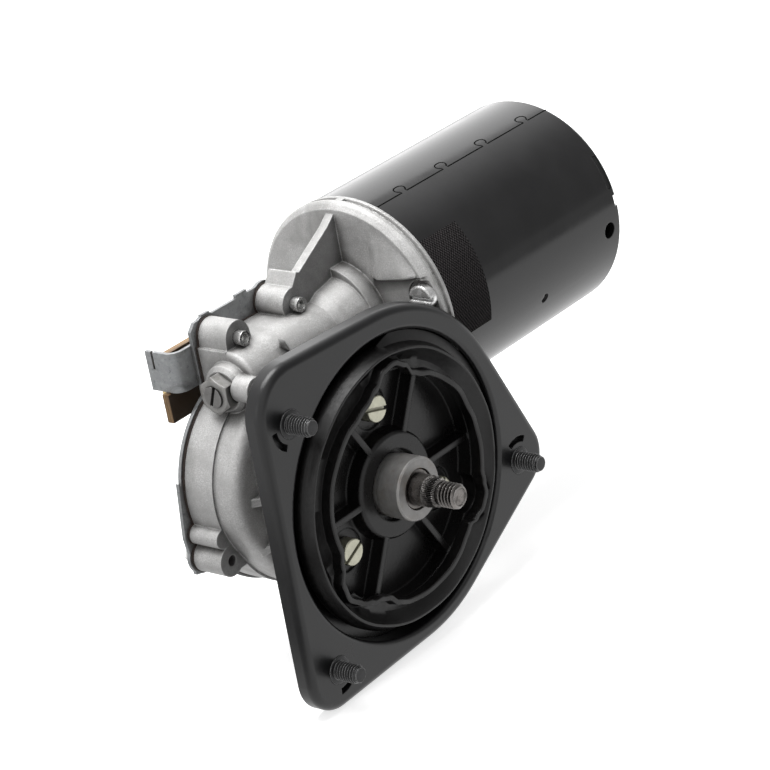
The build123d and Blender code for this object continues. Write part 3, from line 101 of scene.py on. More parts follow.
class Shader:
    """One material with a Principled shader, built from a few named steps."""

    def __init__(self, name, color, rough=0.5, metal=0.0, gloss=0.5):
        self.material = bpy.data.materials.new(name)
        self.tree = emptied_tree(self.material)
        self.bsdf = self.node("ShaderNodeBsdfPrincipled", {
            "Base Color": (*color, 1), "Roughness": rough, "Metallic": metal, "Specular IOR Level": gloss})
        self.node("ShaderNodeOutputMaterial", {"Surface": self.bsdf.outputs[0]})
        self.coords = self.node("ShaderNodeTexCoord").outputs["Object"]
        self.normal = None

    def node(self, kind, inputs=None, **options):
        return add_node(self.tree, kind, inputs, **options)

    def noise(self, per_mm, detail=4.0, rough=0.6, distortion=0.0):
        """Noise with some cycles per millimetre: one number, or one for each axis."""
        where, scale = self.coords, 1.0
        if isinstance(per_mm, tuple):
            mapping = {"Vector": self.coords, "Scale": tuple(METRE * s for s in per_mm)}
            where = self.node("ShaderNodeMapping", mapping).outputs[0]
        else:
            scale = METRE * per_mm
        inputs = {"Vector": where, "Scale": scale, "Detail": detail, "Roughness": rough, "Distortion": distortion}
        return self.node("ShaderNodeTexNoise", inputs).outputs[0]

    def cells(self, per_mm):
        """A random colour for each cell."""
        return self.node("ShaderNodeTexVoronoi", {"Vector": self.coords, "Scale": METRE * per_mm}).outputs["Color"]

    def ramp(self, factor, low, high, start=0.0, end=1.0):
        """Go from start to end as the factor goes from low to high."""
        return map_range(self.tree, factor, (low, high, start, end))

    def math(self, operation, a, b=0.0):
        return self.node("ShaderNodeMath", {0: a, 1: b}, operation=operation).outputs[0]

    def product(self, first, *factors):
        for factor in factors:
            first = self.math("MULTIPLY", first, factor)
        return first

    def mix(self, factor, a, b):
        """Mix two colours by a factor."""
        a, b = (c if isinstance(c, bpy.types.NodeSocket) else (*c, 1) for c in (a, b))
        return self.node("ShaderNodeMix", {0: factor, 6: a, 7: b}, data_type="RGBA").outputs[2]

    def axis(self, name, source=None):
        """One part of a vector, or else of the object's coordinates."""
        return self.node("ShaderNodeSeparateXYZ", {"Vector": source or self.coords}).outputs[name]

    def facing(self, name):
        """Component of the true surface normal along an axis of the object."""
        normal = self.node("ShaderNodeNewGeometry").outputs["True Normal"]
        turned = self.node("ShaderNodeVectorTransform", {0: normal}, vector_type="NORMAL", convert_from="WORLD",
                           convert_to="OBJECT")
        return self.axis(name, turned.outputs[0])

    def bevel(self, radius):
        return self.node("ShaderNodeBevel", {"Radius": radius * MM}, samples=4).outputs[0]

    def edges(self, radius, high=0.1):
        """Mask that is 1 along convex and concave edges, from a rounded normal."""
        normal = self.node("ShaderNodeNewGeometry").outputs["Normal"]
        dot = self.node("ShaderNodeVectorMath", {0: self.bevel(radius), 1: normal}, operation="DOT_PRODUCT")
        return self.ramp(self.math("SUBTRACT", 1.0, dot.outputs["Value"]), 0.01, high)

    def corner_shade(self, distance, low=0.4, high=0.85):
        """Mask that is 1 deep in corners, from ambient occlusion: it marks where painted shade goes."""
        hidden = self.node("ShaderNodeAmbientOcclusion", {"Distance": distance * MM}, samples=6)
        return self.ramp(hidden.outputs["AO"], low, high, 1.0, 0.0)

    def rounded(self, radius):
        self.normal = self.bevel(radius)

    def bump(self, height, depth):
        """Add a bump of some depth in millimetres on top of what is there."""
        inputs = {"Height": height, "Strength": 1.0, "Distance": depth * MM}
        if self.normal is not None:
            inputs["Normal"] = self.normal
        self.normal = self.node("ShaderNodeBump", inputs).outputs[0]

    def finish(self, color, rough=None):
        """Link what was made to the shader."""
        for name, socket in (("Base Color", color), ("Roughness", rough), ("Normal", self.normal)):
            if socket is not None:
                self.tree.links.new(socket, self.bsdf.inputs[name])
        return self.material


# Materials

# Colour of dust on black paint, and of its chips
PALE_SPECK = (0.3, 0.3, 0.3)


def black_paint(name, color, rough, grain, edge, speck, worn=0.0, orange_peel=0.02, gloss=0.5):
    """Glossy black paint: the gloss carries the look, with chips on the edges and dust specks."""
    shader = Shader(name, color, rough, gloss=gloss)
    shader.rounded(edge)
    fine = shader.noise(grain, detail=3)
    broad = shader.noise(0.06, detail=5)
    shader.bump(fine, orange_peel)
    base = shader.mix(shader.ramp(broad, 0.35, 0.65), color, [c * 1.5 for c in color])
    if worn > 0:
        chips = shader.ramp(shader.noise(0.7, detail=7, rough=0.75), 0.55, 0.63)
        base = shader.mix(shader.product(shader.edges(0.6), chips, worn), base, PALE_SPECK)
    dust = shader.ramp(shader.noise(1.1, detail=8, rough=0.85), 0.72, 0.76)
    base = shader.mix(shader.product(dust, speck), base, PALE_SPECK)
    return shader.finish(base, shader.ramp(broad, 0.3, 0.7, rough - 0.04, rough + 0.06))


def seam_groove_shade():
    """Deep black without gloss: painted shade for the groove of the can's seam."""
    shader = Shader("seam_groove_shade", (0.004, 0.004, 0.004), 0.7, gloss=0.0)
    shader.bump(shader.noise(1.5, detail=3), 0.02)
    tone = shader.ramp(shader.noise(0.4, detail=4), 0.3, 0.7)
    return shader.finish(shader.mix(tone, (0.002, 0.002, 0.002), (0.012, 0.012, 0.012)))


# Painted shadow under the ledge: its depth at the ledge's ends, and its ends in x, on the bell alone
LEDGE_SHADOW_DEPTH = (3.0, 5.8)
LEDGE_SHADOW_X = (35.0, 42.2)


def ledge_painted_shadow(shader):
    """Mask for the painted shadow under the ledge of the bolt pocket, thickest at its inner end."""
    x, y, z = (shader.axis(name) for name in "XYZ")
    outer, inner = LEDGE_Y
    rise = shader.product(shader.math("SUBTRACT", inner * MM, y), LEDGE_SLOPE)
    below = shader.math("SUBTRACT", shader.math("ADD", rise, LEDGE_Z * MM), z)
    depth = shader.ramp(y, outer * MM, inner * MM, LEDGE_SHADOW_DEPTH[0] * MM, LEDGE_SHADOW_DEPTH[1] * MM)
    fade = shader.math("MAXIMUM", shader.math("SUBTRACT", 1.0, shader.math("DIVIDE", below, depth)), 0.0)
    fade = shader.math("POWER", fade, 0.7)
    for value, low, high in (
            (below, 0.0, 0.2), (y, outer - 1, outer), (y, inner + 0.4, inner - 0.4),
            (x, LEDGE_SHADOW_X[0], LEDGE_SHADOW_X[0] + 0.2), (x, LEDGE_SHADOW_X[1], LEDGE_SHADOW_X[1] - 0.2)):
        fade = shader.product(fade, shader.ramp(value, low * MM, high * MM))
    return shader.product(fade, 0.97)


# The forward faces at this depth are machined
CUT_FACE_Y = 41.4


def cast_aluminium():
    """As-cast skin: fine grain, mottled grey, darker machined faces and bright worn edges, with painted shade in the
    corners and a painted shadow under the ledge of the bolt pocket.
    """
    shader = Shader("cast_aluminium", (0.36, 0.36, 0.36), 0.55, 0.5)
    shader.rounded(0.7)
    grain = shader.noise(2.4, detail=6, rough=0.75)
    pits = shader.noise(1.1, detail=8, rough=0.8)
    blotch = shader.noise(0.14, detail=7, rough=0.65)
    stain = shader.noise(0.05, detail=5, distortion=0.6)
    shader.bump(grain, 0.11)
    shader.bump(blotch, 0.35)
    base = shader.mix(shader.ramp(grain, 0.35, 0.65), (0.38, 0.377, 0.372), (0.72, 0.716, 0.71))
    base = shader.mix(shader.ramp(blotch, 0.4, 0.62, 0.0, 0.65), base, (0.44, 0.436, 0.43))
    base = shader.mix(shader.ramp(stain, 0.48, 0.68, 0.0, 0.6), base, (0.27, 0.265, 0.258))
    base = shader.mix(shader.ramp(pits, 0.62, 0.72, 0.0, 0.75), base, (0.1, 0.097, 0.092))
    # Painted shade: darker in the corners, from the ambient occlusion mask, a little uneven with the blotches.
    painted_corner_shade = shader.product(shader.corner_shade(5.0, 0.42, 0.93), shader.ramp(blotch, 0.3, 0.6, 0.6, 1.0))
    base = shader.mix(painted_corner_shade, base, (0.085, 0.08, 0.076))
    # Painted shadow: near black under the ledge of the bolt pocket.
    base = shader.mix(ledge_painted_shadow(shader), base, (0.03, 0.028, 0.026))
    wear = shader.ramp(shader.noise(0.5, detail=6, rough=0.7), 0.35, 0.6, 0.15, 0.75)
    base = shader.mix(shader.product(shader.edges(0.8), wear), base, (0.85, 0.85, 0.84))
    forward = shader.math("LESS_THAN", shader.facing("Y"), -0.985)
    away = shader.math("ABSOLUTE", shader.math("SUBTRACT", shader.axis("Y"), CUT_FACE_Y * MM))
    cut = shader.product(forward, shader.math("LESS_THAN", away, 0.2 * MM))
    base = shader.mix(shader.product(cut, 0.5), base, (0.12, 0.12, 0.123))
    return shader.finish(base, shader.ramp(grain, 0.3, 0.7, 0.42, 0.66))


def galvanised_sheet():
    """Zinc-coated sheet: spangle, pale and dark streaks, stains, painted shade in the corners and bright edges."""
    shader = Shader("galvanised_sheet", (0.3, 0.32, 0.335), 0.45, 0.55)
    shader.rounded(0.3)
    tone = shader.axis("X", shader.cells(0.45))
    streak = shader.noise(0.9, detail=8, rough=0.75)
    stain = shader.noise(0.12, detail=6, distortion=0.8)
    base = shader.mix(tone, (0.3, 0.308, 0.314), (0.35, 0.36, 0.366))
    base = shader.mix(shader.ramp(streak, 0.55, 0.7, 0.0, 0.8), base, (0.52, 0.535, 0.54))
    base = shader.mix(shader.ramp(streak, 0.42, 0.34, 0.0, 0.7), base, (0.1, 0.11, 0.115))
    base = shader.mix(shader.ramp(stain, 0.55, 0.7, 0.0, 0.6), base, (0.12, 0.12, 0.12))
    # Painted shade: darker in the corners, from the ambient occlusion mask.
    base = shader.mix(shader.product(shader.corner_shade(2.5), 0.7), base, (0.07, 0.06, 0.052))
    base = shader.mix(shader.product(shader.edges(0.3), 0.5), base, (0.6, 0.61, 0.62))
    shader.bump(streak, 0.04)
    return shader.finish(base, shader.ramp(tone, 0.0, 1.0, 0.38, 0.52))


def plain_metal(name, color, rough, metal=1.0, edge=0.35, brush=0.0, dirt=0.0, dirt_color=None, shine=0.0, corner_shade_strength=0.6):
    """Metal with a mottled tone, turning lines, dirt, bright edges and painted shade in the corners."""
    shader = Shader(name, color, rough, metal)
    shader.rounded(edge)
    tone = shader.noise(0.35, detail=6)
    base = shader.mix(shader.ramp(tone, 0.3, 0.7), [c * 0.8 for c in color], [min(1, c * 1.12) for c in color])
    if brush > 0:
        lines = shader.noise((0.4, brush, 0.4), detail=3)
        shader.bump(lines, 0.02)
        base = shader.mix(shader.ramp(lines, 0.3, 0.7, 0.0, 0.35), base, [c * 0.55 for c in color])
    if dirt > 0:
        patches = shader.ramp(shader.noise(0.25, detail=7, rough=0.7), 0.5, 0.68)
        base = shader.mix(shader.product(patches, dirt), base, dirt_color)
    if shine > 0:
        base = shader.mix(shader.product(shader.edges(0.25, 0.12), shine), base, (0.75, 0.75, 0.75))
    # Painted shade: darker in the corners, from the ambient occlusion mask.
    base = shader.mix(shader.product(shader.corner_shade(1.2, 0.55, 0.97), corner_shade_strength), base, [c * 0.06 for c in color])
    return shader.finish(base, shader.ramp(tone, 0.3, 0.7, rough - 0.06, rough + 0.1))


def plain_solid(name, color, rough, vary=0.25, grain=1.5, depth=0.03, edge=0.3, gloss=0.5):
    """Rubber, plastic or board: a mottled tone and a fine grain."""
    shader = Shader(name, color, rough, gloss=gloss)
    shader.rounded(edge)
    tone = shader.noise(0.4, detail=6)
    fine = shader.noise(grain, detail=4)
    shader.bump(fine, depth)
    dark, light = [c * (1 - vary) for c in color], [min(1, c * (1 + vary)) for c in color]
    base = shader.mix(shader.ramp(tone, 0.3, 0.7), dark, light)
    return shader.finish(base, shader.ramp(fine, 0.3, 0.7, rough - 0.05, rough + 0.08))


def laminated(name, light, dark, layers):
    """Brown board: pale sawn edges with fine layers, darker faces."""
    shader = Shader(name, light, 0.5)
    lines = shader.noise((0.05, layers, 0.05), detail=2)
    fibres = shader.noise(1.2, detail=6)
    base = shader.mix(shader.ramp(lines, 0.35, 0.65), dark, light)
    base = shader.mix(shader.ramp(fibres, 0.5, 0.7, 0.0, 0.5), base, dark)
    face = shader.math("GREATER_THAN", shader.math("ABSOLUTE", shader.facing("Y")), 0.9)
    base = shader.mix(shader.product(face, 0.93), base, [c * 0.22 for c in dark])
    shader.bump(fibres, 0.03)
    return shader.finish(base)


# Spacing of the tape's threads round the can and along it
WEAVE_SPACING = (1.5, 1.1)


def tape_fabric():
    """Woven cloth tape: a checker of raised threads round the can and along it, with loose fuzz."""
    shader = Shader("tape_fabric", (0.02, 0.02, 0.02), 0.9, gloss=0.12)
    up = shader.math("SUBTRACT", shader.axis("Z"), MOTOR_Z * MM)
    back = shader.math("SUBTRACT", shader.axis("Y"), MOTOR_Y * MM)
    round_way = shader.product(shader.math("ARCTAN2", up, back), TAPE_R * 2 * math.pi / WEAVE_SPACING[0])
    long_way = shader.product(shader.axis("X"), METRE * 2 * math.pi / WEAVE_SPACING[1])
    weave = shader.product(shader.math("SINE", round_way), shader.math("SINE", long_way))
    fuzz = shader.noise(1.6, detail=7, rough=0.85)
    height = shader.math("ADD", weave, shader.product(fuzz, 3.0))
    shader.bump(height, 0.35)
    return shader.finish(shader.mix(shader.ramp(height, 0.9, 2.8), (0.002, 0.002, 0.002), (0.11, 0.1, 0.102)))


MATERIALS = {
    "pressed_steel_black": black_paint(
        "pressed_steel_black", (0.006, 0.006, 0.0065), 0.3, grain=1.3, edge=0.4, speck=0.35, worn=0.8),
    "cast_bracket_black": black_paint(
        "cast_bracket_black", (0.004, 0.0036, 0.0037), 0.27, grain=0.7, edge=0.9, speck=0.3, orange_peel=0.04,
        gloss=0.36),
    "can_black": black_paint(
        "can_black", (0.01, 0.0098, 0.0102), 0.14, grain=0.5, edge=0.4, speck=0.12, orange_peel=0.008),
    "seal_rubber": plain_solid(
        "seal_rubber", (0.006, 0.0055, 0.0056), 0.34, vary=0.3, grain=0.8, edge=0.2, gloss=0.4),
    "stud_steel": plain_metal(
        "stud_steel", (0.035, 0.035, 0.036), 0.32, 0.5, edge=0.12, dirt=0.5, dirt_color=(0.01, 0.01, 0.01), shine=0.5),
    "yellow_zinc": plain_metal("yellow_zinc", (0.66, 0.65, 0.52), 0.34, 0.7, brush=3.0),
    "bright_steel": plain_metal(
        "bright_steel", (0.22, 0.205, 0.195), 0.27, 0.9, edge=0.05, dirt=0.9, dirt_color=(0.04, 0.034, 0.03),
        shine=0.3, corner_shade_strength=0.97),
    "collar_steel": plain_metal(
        "collar_steel", (0.36, 0.352, 0.345), 0.42, 0.35, brush=2.0, dirt=0.4, dirt_color=(0.2, 0.16, 0.11), shine=0.7),
    "sintered_bronze": plain_metal("sintered_bronze", (0.45, 0.32, 0.17), 0.45),
    "cast_aluminium": cast_aluminium(),
    "gasket_paper": plain_solid("gasket_paper", (0.03, 0.02, 0.016), 0.8, vary=0.5, grain=1.2, depth=0.06),
    "galvanised_sheet": galvanised_sheet(),
    "zinc_steel": plain_metal("zinc_steel", (0.82, 0.82, 0.81), 0.22, 0.9, dirt=0.3, dirt_color=(0.25, 0.24, 0.22)),
    "phenolic_board": laminated("phenolic_board", (0.36, 0.22, 0.09), (0.13, 0.07, 0.03), layers=2.5),
    "contact_brass": plain_metal("contact_brass", (0.75, 0.58, 0.28), 0.32),
    "gear_plastic": plain_solid("gear_plastic", (0.72, 0.7, 0.62), 0.4),
    "gear_steel": plain_metal("gear_steel", (0.3, 0.3, 0.3), 0.45),
    "motor_steel": plain_metal("motor_steel", (0.3, 0.3, 0.31), 0.42),
    "coil_copper": plain_metal("coil_copper", (0.55, 0.22, 0.09), 0.35, 0.8),
    "commutator_copper": plain_metal("commutator_copper", (0.65, 0.33, 0.18), 0.3),
    "ferrite": plain_solid("ferrite", (0.05, 0.05, 0.055), 0.5),
    "carbon": plain_solid("carbon", (0.02, 0.02, 0.02), 0.6),
    "insulation": plain_solid("insulation", (0.2, 0.13, 0.07), 0.55),
    "tape_fabric": tape_fabric(),
}

# Nodes whose finish differs from others of their slot
OWN_FINISH = {
    "lock_nut": plain_metal(
        "zinc_dull", (0.3, 0.295, 0.285), 0.42, 0.75, dirt=0.7, dirt_color=(0.13, 0.12, 0.11), shine=0.35),
    "adjusting_screw": plain_metal(
        "zinc_dark", (0.2, 0.195, 0.19), 0.4, 0.8, dirt=0.7, dirt_color=(0.07, 0.065, 0.06), shine=0.35),
    "can_bolts": plain_metal("zinc_bright", (0.95, 0.95, 0.94), 0.22, 0.9, edge=1.1),
    "end_plate": plain_metal("steel_dark", (0.03, 0.03, 0.03), 0.45, 0.6),
}

SLOT_OF = {entry["node"]: entry["material_slot"] for entry in frame["record"]["subparts"]}
for node, solid in frame["nodes"].items():
    material = OWN_FINISH.get(node, MATERIALS[SLOT_OF[node]])
    if not solid.material_slots:
        solid.data.materials.append(material)
    for slot in solid.material_slots:
        slot.material = material


# Mesh helpers

SHARP_ANGLE = 38


def mesh_piece(name, vertices, faces, slot, body, smooth=True):
    """Add a mesh given in millimetres, with its material slot and the body it rides on."""
    mesh = bpy.data.meshes.new(name)
    mesh.from_pydata([tuple(c * MM for c in v) for v in vertices], [], faces)
    mesh.validate()
    for polygon in mesh.polygons:
        polygon.use_smooth = smooth
    mesh.set_sharp_from_angle(angle=math.radians(SHARP_ANGLE))
    piece = bpy.data.objects.new(name, mesh)
    bpy.context.scene.collection.objects.link(piece)
    piece.data.materials.append(MATERIALS[slot])
    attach(piece, body)
    return piece


def skin(loops, closed_ends=True):
    """Skin over loops of equally many points, with a fan on each end loop."""
    count = len(loops[0])
    vertices = [point for loop in loops for point in loop]
    faces = []
    for row in range(len(loops) - 1):
        for i in range(count):
            j = (i + 1) % count
            a, b = row * count, (row + 1) * count
            faces.append((a + i, a + j, b + j, b + i))
    if closed_ends:
        for row, flip in ((0, True), (len(loops) - 1, False)):
            middle = [sum(p[k] for p in loops[row]) / count for k in range(3)]
            vertices.append(tuple(middle))
            hub = len(vertices) - 1
            for i in range(count):
                j = (i + 1) % count
                pair = (row * count + j, row * count + i) if flip else (row * count + i, row * count + j)
                faces.append((*pair, hub))
    return vertices, faces


def merged(parts):
    """Join several (vertices, faces) into one list of each."""
    vertices, faces = [], []
    for points, polygons in parts:
        start = len(vertices)
        vertices += points
        faces += [tuple(start + i for i in polygon) for polygon in polygons]
    return vertices, faces


def round_loops(rows, segments, radius, x=0.0, z=0.0):
    """One loop for each y in rows; radius(y, angle) gives its shape."""
    loops = []
    for y in rows:
        loop = []
        for i in range(segments):
            angle = 2 * math.pi * i / segments
            r = radius(y, angle)
            loop.append((x + r * math.cos(angle), y, z + r * math.sin(angle)))
        loops.append(loop)
    return loops


def profile_loops(points, segments, x=0.0, z=0.0):
    """One loop for each (radius, y) of a turned profile."""
    return [round_loops((y,), segments, lambda _, __, r=r: r, x, z)[0] for r, y in points]


def thread_radius(y, angle, major, minor, pitch):
    """Radius of a right-hand thread on an axis that points to -Y, with flat crests and roots."""
    phase = (y / pitch + angle / (2 * math.pi)) % 1.0
    flank = 1 - abs(2 * phase - 1)
    return minor + (major - minor) * min(1.0, max(0.0, 1.22 * flank - 0.12))


def spaced(start, stop, count):
    return [start + (stop - start) * i / (count - 1) for i in range(count)]


def eased(t):
    """Go from 0 to 1 with a soft start and end."""
    return t * t * (3 - 2 * t)


# Cast details: a ledge above the bolt pocket and a small wedge on the worm tube

BELL_FACE_X = 36.2
BELL_EDGE_R = 34.6


def bolt_ledge():
    """Swelling of the bell's face that ends in a ledge over the bolt pocket."""
    front_y, inner_y, height, rise, sunk, depth = 11.4, LEDGE_Y[1], 17, 2.0, 0.03, 0.5
    loops = []
    for y in spaced(front_y, inner_y, 30):
        low = LEDGE_Z + (inner_y - y) * LEDGE_SLOPE
        high = min(low + height, MOTOR_Z + math.sqrt(BELL_EDGE_R ** 2 - (MOTOR_Y - y) ** 2))
        top = rise * min(1.0, (high - low) / 7) * (0.12 + 0.88 * eased(min(1.0, (inner_y - y) / 4)))
        loop = []
        for t in spaced(0.0, 1.0, 15):
            x = BELL_FACE_X + sunk - (top + sunk) * (1 - t) ** 2 * (1 + 2 * t)
            loop.append((x, y, low + t * (high - low)))
        loops.append(loop + [(BELL_FACE_X + depth, y, high), (BELL_FACE_X + depth, y, low + 1.4)])
    mesh_piece("bolt_ledge", *skin(loops), "cast_aluminium", "base")


def tube_wedge():
    """Closed solid between a base triangle and a raised one."""
    base = ((-7.4, 32.6, 48.6), (-2.2, 33.5, 39.9), (-6.6, 33.5, 45.2))
    ridge = ((-7.0, 30.6, 48.3), (-2.8, 31.4, 40.5), (-6.4, 30.9, 45.7))
    faces = [(0, 2, 1), (3, 4, 5), (0, 1, 4, 3), (1, 2, 5, 4), (2, 0, 3, 5)]
    mesh_piece("tube_wedge", base + ridge, faces, "cast_aluminium", "base", smooth=False)


# Output shaft: tip, thread, knurled taper and body with the two ring grooves. Turned shapes are given as (radius, y).

SHAFT_THREAD = {"major": 4.0, "minor": 3.12, "pitch": 1.25}
SHAFT_TIP = ((2.4, -22.86), (2.62, -22.88), (2.78, -23.16), (2.9, -23.2), (3.15, -23.2), (3.3, -23.06))
SHAFT_BODY = (
    (4.96, -11.66), (5.0, -11.62), (5.0, -6.5), (4.95, -6.45), (4.3, -6.4), (4.3, -5.2), (4.95, -5.15), (5.0, -5.1),
    (5.0, 46.65), (4.3, 46.7), (4.3, 47.9), (5.0, 47.95), (5.0, 49.6), (4.0, 50.6))
KNURL_RIDGES = 48
KNURL_DEPTH = 0.42


def output_shaft():
    thread_y, neck_y, knurl_y, body_y = -22.95, -16.7, -15.75, -11.7

    def thread(y, angle):
        r = min(thread_radius(y, angle, **SHAFT_THREAD), 3.42 + 1.1 * (y - thread_y))
        return min(r, 3.35) if y > neck_y else r

    def knurl(y, angle):
        taper = min(4.45 + 0.55 * (y - knurl_y) / (body_y - knurl_y), 3.9 + 1.4 * (y - knurl_y))
        fade = min(1.0, 0.3 + 0.7 * max(0.0, body_y - y) / 2.2)
        return taper - KNURL_DEPTH * fade * abs((KNURL_RIDGES * angle / (2 * math.pi)) % 1.0 * 2 - 1)

    tip = profile_loops(SHAFT_TIP, 96)
    threaded = tip + round_loops(spaced(thread_y, knurl_y + 0.2, 92), 96, thread)
    knurled = round_loops(spaced(knurl_y, body_y + 0.15, 24), 8 * KNURL_RIDGES, knurl)
    body = profile_loops(SHAFT_BODY, 96)
    parts = [skin(threaded), skin(knurled), skin(body)]
    piece = mesh_piece("output_shaft_threaded", *merged(parts), "bright_steel", "output")
    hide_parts("output_shaft")


# Studs with a thread, a plain point, and a foot with a tab that closes the plate's keying slot from behind

STUD_THREAD = {"major": 3.0, "minor": 2.42, "pitch": 1.0}
STUD_POINT = ((2.05, -8.7), (2.25, -8.68), (2.42, -8.5), (2.42, -7.95))
STUD_FOOT = (
    (3.0, -0.5), (3.05, -0.35), (4.2, -0.3), (4.45, -0.15), (4.5, 0.05), (4.5, 2.0), (6.0, 2.02), (6.0, 3.2),
    (5.6, 3.6))
# Place in x and z, and angle of the keying slot in degrees
STUDS = ((-41.6, 40.1, 212.0), (57.0, -18.0, 90.0), (-42.2, -42.4, 296.0))
# Turn of each thread after the one before, in radians
STUD_TURN = 2.1
KEY_TAB = ((5.8, 2.02), (8.7, 2.02), (8.7, 3.0), (5.8, 3.0))
KEY_HALF_ANGLE = 40


def key_tab(x, z, middle):
    """Sector of a ring round a stud."""
    loops = []
    for degrees in spaced(middle - KEY_HALF_ANGLE, middle + KEY_HALF_ANGLE, 17):
        angle = math.radians(degrees)
        loops.append([(x + r * math.cos(angle), y, z + r * math.sin(angle)) for r, y in KEY_TAB])
    return skin(loops)


def mounting_studs():
    thread_y = -7.9
    parts = []
    for index, (x, z, key_angle) in enumerate(STUDS):

        def thread(y, angle, turn=STUD_TURN * index):
            return min(thread_radius(y, angle + turn, **STUD_THREAD), 2.45 + 1.3 * (y - thread_y))

        point = profile_loops(STUD_POINT, 64, x, z)
        shank = round_loops(spaced(thread_y, -0.6, 82), 64, thread, x, z)
        foot = profile_loops(STUD_FOOT, 64, x, z)
        parts += [skin(point + shank + foot), key_tab(x, z, key_angle)]
    piece = mesh_piece("mounting_studs_threaded", *merged(parts), "stud_steel", "base")
    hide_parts("mounting_studs")


# Rubber seal: outer lip, valley, and a loose inner lip that follows the lobes of the bracket

# Inner lip: angle in degrees, and radius at its middle
LIP_SHAPE = (
    (0, 36.9), (10, 36.8), (20, 36.2), (30, 36.7), (45, 36.2), (56, 35.9), (64, 35.2), (71, 35.6), (77, 38.6),
    (84, 40.2), (91, 39.4), (99, 36.0), (108, 34.0), (118, 33.8), (127, 34.8), (145, 35.3), (165, 35.3), (180, 34.8),
    (190, 34.2), (198, 36.0), (205, 39.2), (213, 40.3), (221, 39.0), (228, 37.2), (235, 35.2), (241, 34.5), (248, 36.0),
    (258, 36.8), (280, 37.0), (300, 37.0), (309, 36.3), (315, 36.1), (319, 38.4), (325, 40.3), (331, 40.3),
    (337, 38.4), (343, 37.1), (352, 36.9), (360, 36.9))
# Between these angles a skirt of dark rubber hides the gap to the gearbox: a sheet that stands in for the shade in that
# gap.
SHADE_SKIRT = (8.0, 88.0)
SHADE_SKIRT_REACH = 2.7
SHADE_SKIRT_END = 8
SEAL_R = 45.6
SEAL_BACK_Y = 3.2


def lip_radius(degrees):
    """Middle of the inner lip at an angle, eased between the given places."""
    for (a0, r0), (a1, r1) in zip(LIP_SHAPE, LIP_SHAPE[1:]):
        if degrees <= a1:
            return r0 + (r1 - r0) * eased((degrees - a0) / (a1 - a0))


def plate_seal():
    segments = 420
    loops = []
    for i in range(segments):
        degrees = 360 * i / segments
        angle = math.radians(degrees)
        lip = lip_radius(degrees)
        top = -2.75 + 0.16 * math.sin(7 * angle + 0.6) + 0.1 * math.sin(17 * angle)
        flap = 0.12 * math.sin(5 * angle + 1.1) + 0.08 * math.sin(13 * angle)
        # The skirt: a dark rubber sheet that stands in for the shade in the gap.
        inside = min(degrees - SHADE_SKIRT[0], SHADE_SKIRT[1] - degrees) / SHADE_SKIRT_END
        reach = SEAL_R + SHADE_SKIRT_REACH * min(1.0, max(0.0, inside))
        rear_r = max(lip + 2.6, 43.0)
        profile = (
            (lip - 0.45, 1.5), (lip - 0.75, 0.6), (lip - 0.9, -1.2), (lip - 0.95, top + 0.35), (lip - 0.7, top + 0.05),
            (lip - 0.2, top), (lip + 0.55, top + 0.02), (lip + 0.85, top + 0.3), (lip + 1.0, -0.6), (lip + 1.25, 0.7),
            (max(lip + 1.9, 39.2), 1.15), (max(lip + 2.5, 40.4), 0.5), (42.1 + flap, -1.25), (42.75 + flap, -2.2),
            (42.95 + flap, -2.5), (43.35 + flap, -2.58), (43.7 + flap, -2.45), (43.9 + flap, -2.0), (44.3, -0.9),
            (45.0, 0.9), (reach, 1.9), (reach, 2.35), (SEAL_R, 2.6), (SEAL_R, SEAL_BACK_Y), (rear_r, SEAL_BACK_Y),
            (rear_r, 1.5))
        loops.append([(r * math.cos(angle), y, r * math.sin(angle)) for r, y in profile])
    vertices, faces = skin(loops, closed_ends=False)
    count = len(loops[0])
    last = (segments - 1) * count
    for i in range(count):
        j = (i + 1) % count
        faces.append((last + i, last + j, j, i))
    piece = mesh_piece("plate_seal_lips", vertices, faces, "seal_rubber", "base")
    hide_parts("plate_seal")


# Rolled seam along the can, with its interlocking tabs

SEAM_ANGLE = 110.5
SEAM_X = (43.4, 134.2)
SEAM_HALF_WIDTH = 0.25
SEAM_TABS = (57.0, 78.5, 100.0, 122.5)
TAB_SHAPE = ((-1.2, 0.0), (-1.35, 0.7), (-2.0, 1.3), (-2.3, 2.0), (-2.1, 2.8), (-1.3, 3.4), (0.0, 3.6))
# Section of the seam: side of its line, and height over the can
SEAM_SECTION = ((-1, -0.3), (-1, 0.02), (0, 0.05), (1, 0.02), (1, -0.3))


def can_seam():
    path = [(SEAM_X[0], 0.0)]
    for x in SEAM_TABS:
        path += [(x + dx, up) for dx, up in TAB_SHAPE]
        path += [(x - dx, up) for dx, up in reversed(TAB_SHAPE[:-1])]
    path.append((SEAM_X[1], 0.0))
    loops = []
    for index, (x, up) in enumerate(path):
        before = path[max(index - 1, 0)]
        after = path[min(index + 1, len(path) - 1)]
        run = Vector((after[0] - before[0], after[1] - before[1])).normalized()
        side = Vector((-run[1], run[0])) * SEAM_HALF_WIDTH
        loop = []
        for sign, height in SEAM_SECTION:
            r = CAN_R + height
            angle = math.radians(SEAM_ANGLE) - (up + sign * side[1]) / CAN_R
            loop.append((x + sign * side[0], MOTOR_Y + r * math.cos(angle), MOTOR_Z + r * math.sin(angle)))
        loops.append(loop)
    piece = mesh_piece("can_seam", *skin(loops), "can_black", "base")
    # The seam is a thin gloss-free black strip: painted shade of its groove.
    piece.data.materials[0] = seam_groove_shade()


bolt_ledge()
tube_wedge()
output_shaft()
mounting_studs()
plate_seal()
can_seam()


# Camera: solved from the photograph, with its focal length in pixels and its place in millimetres

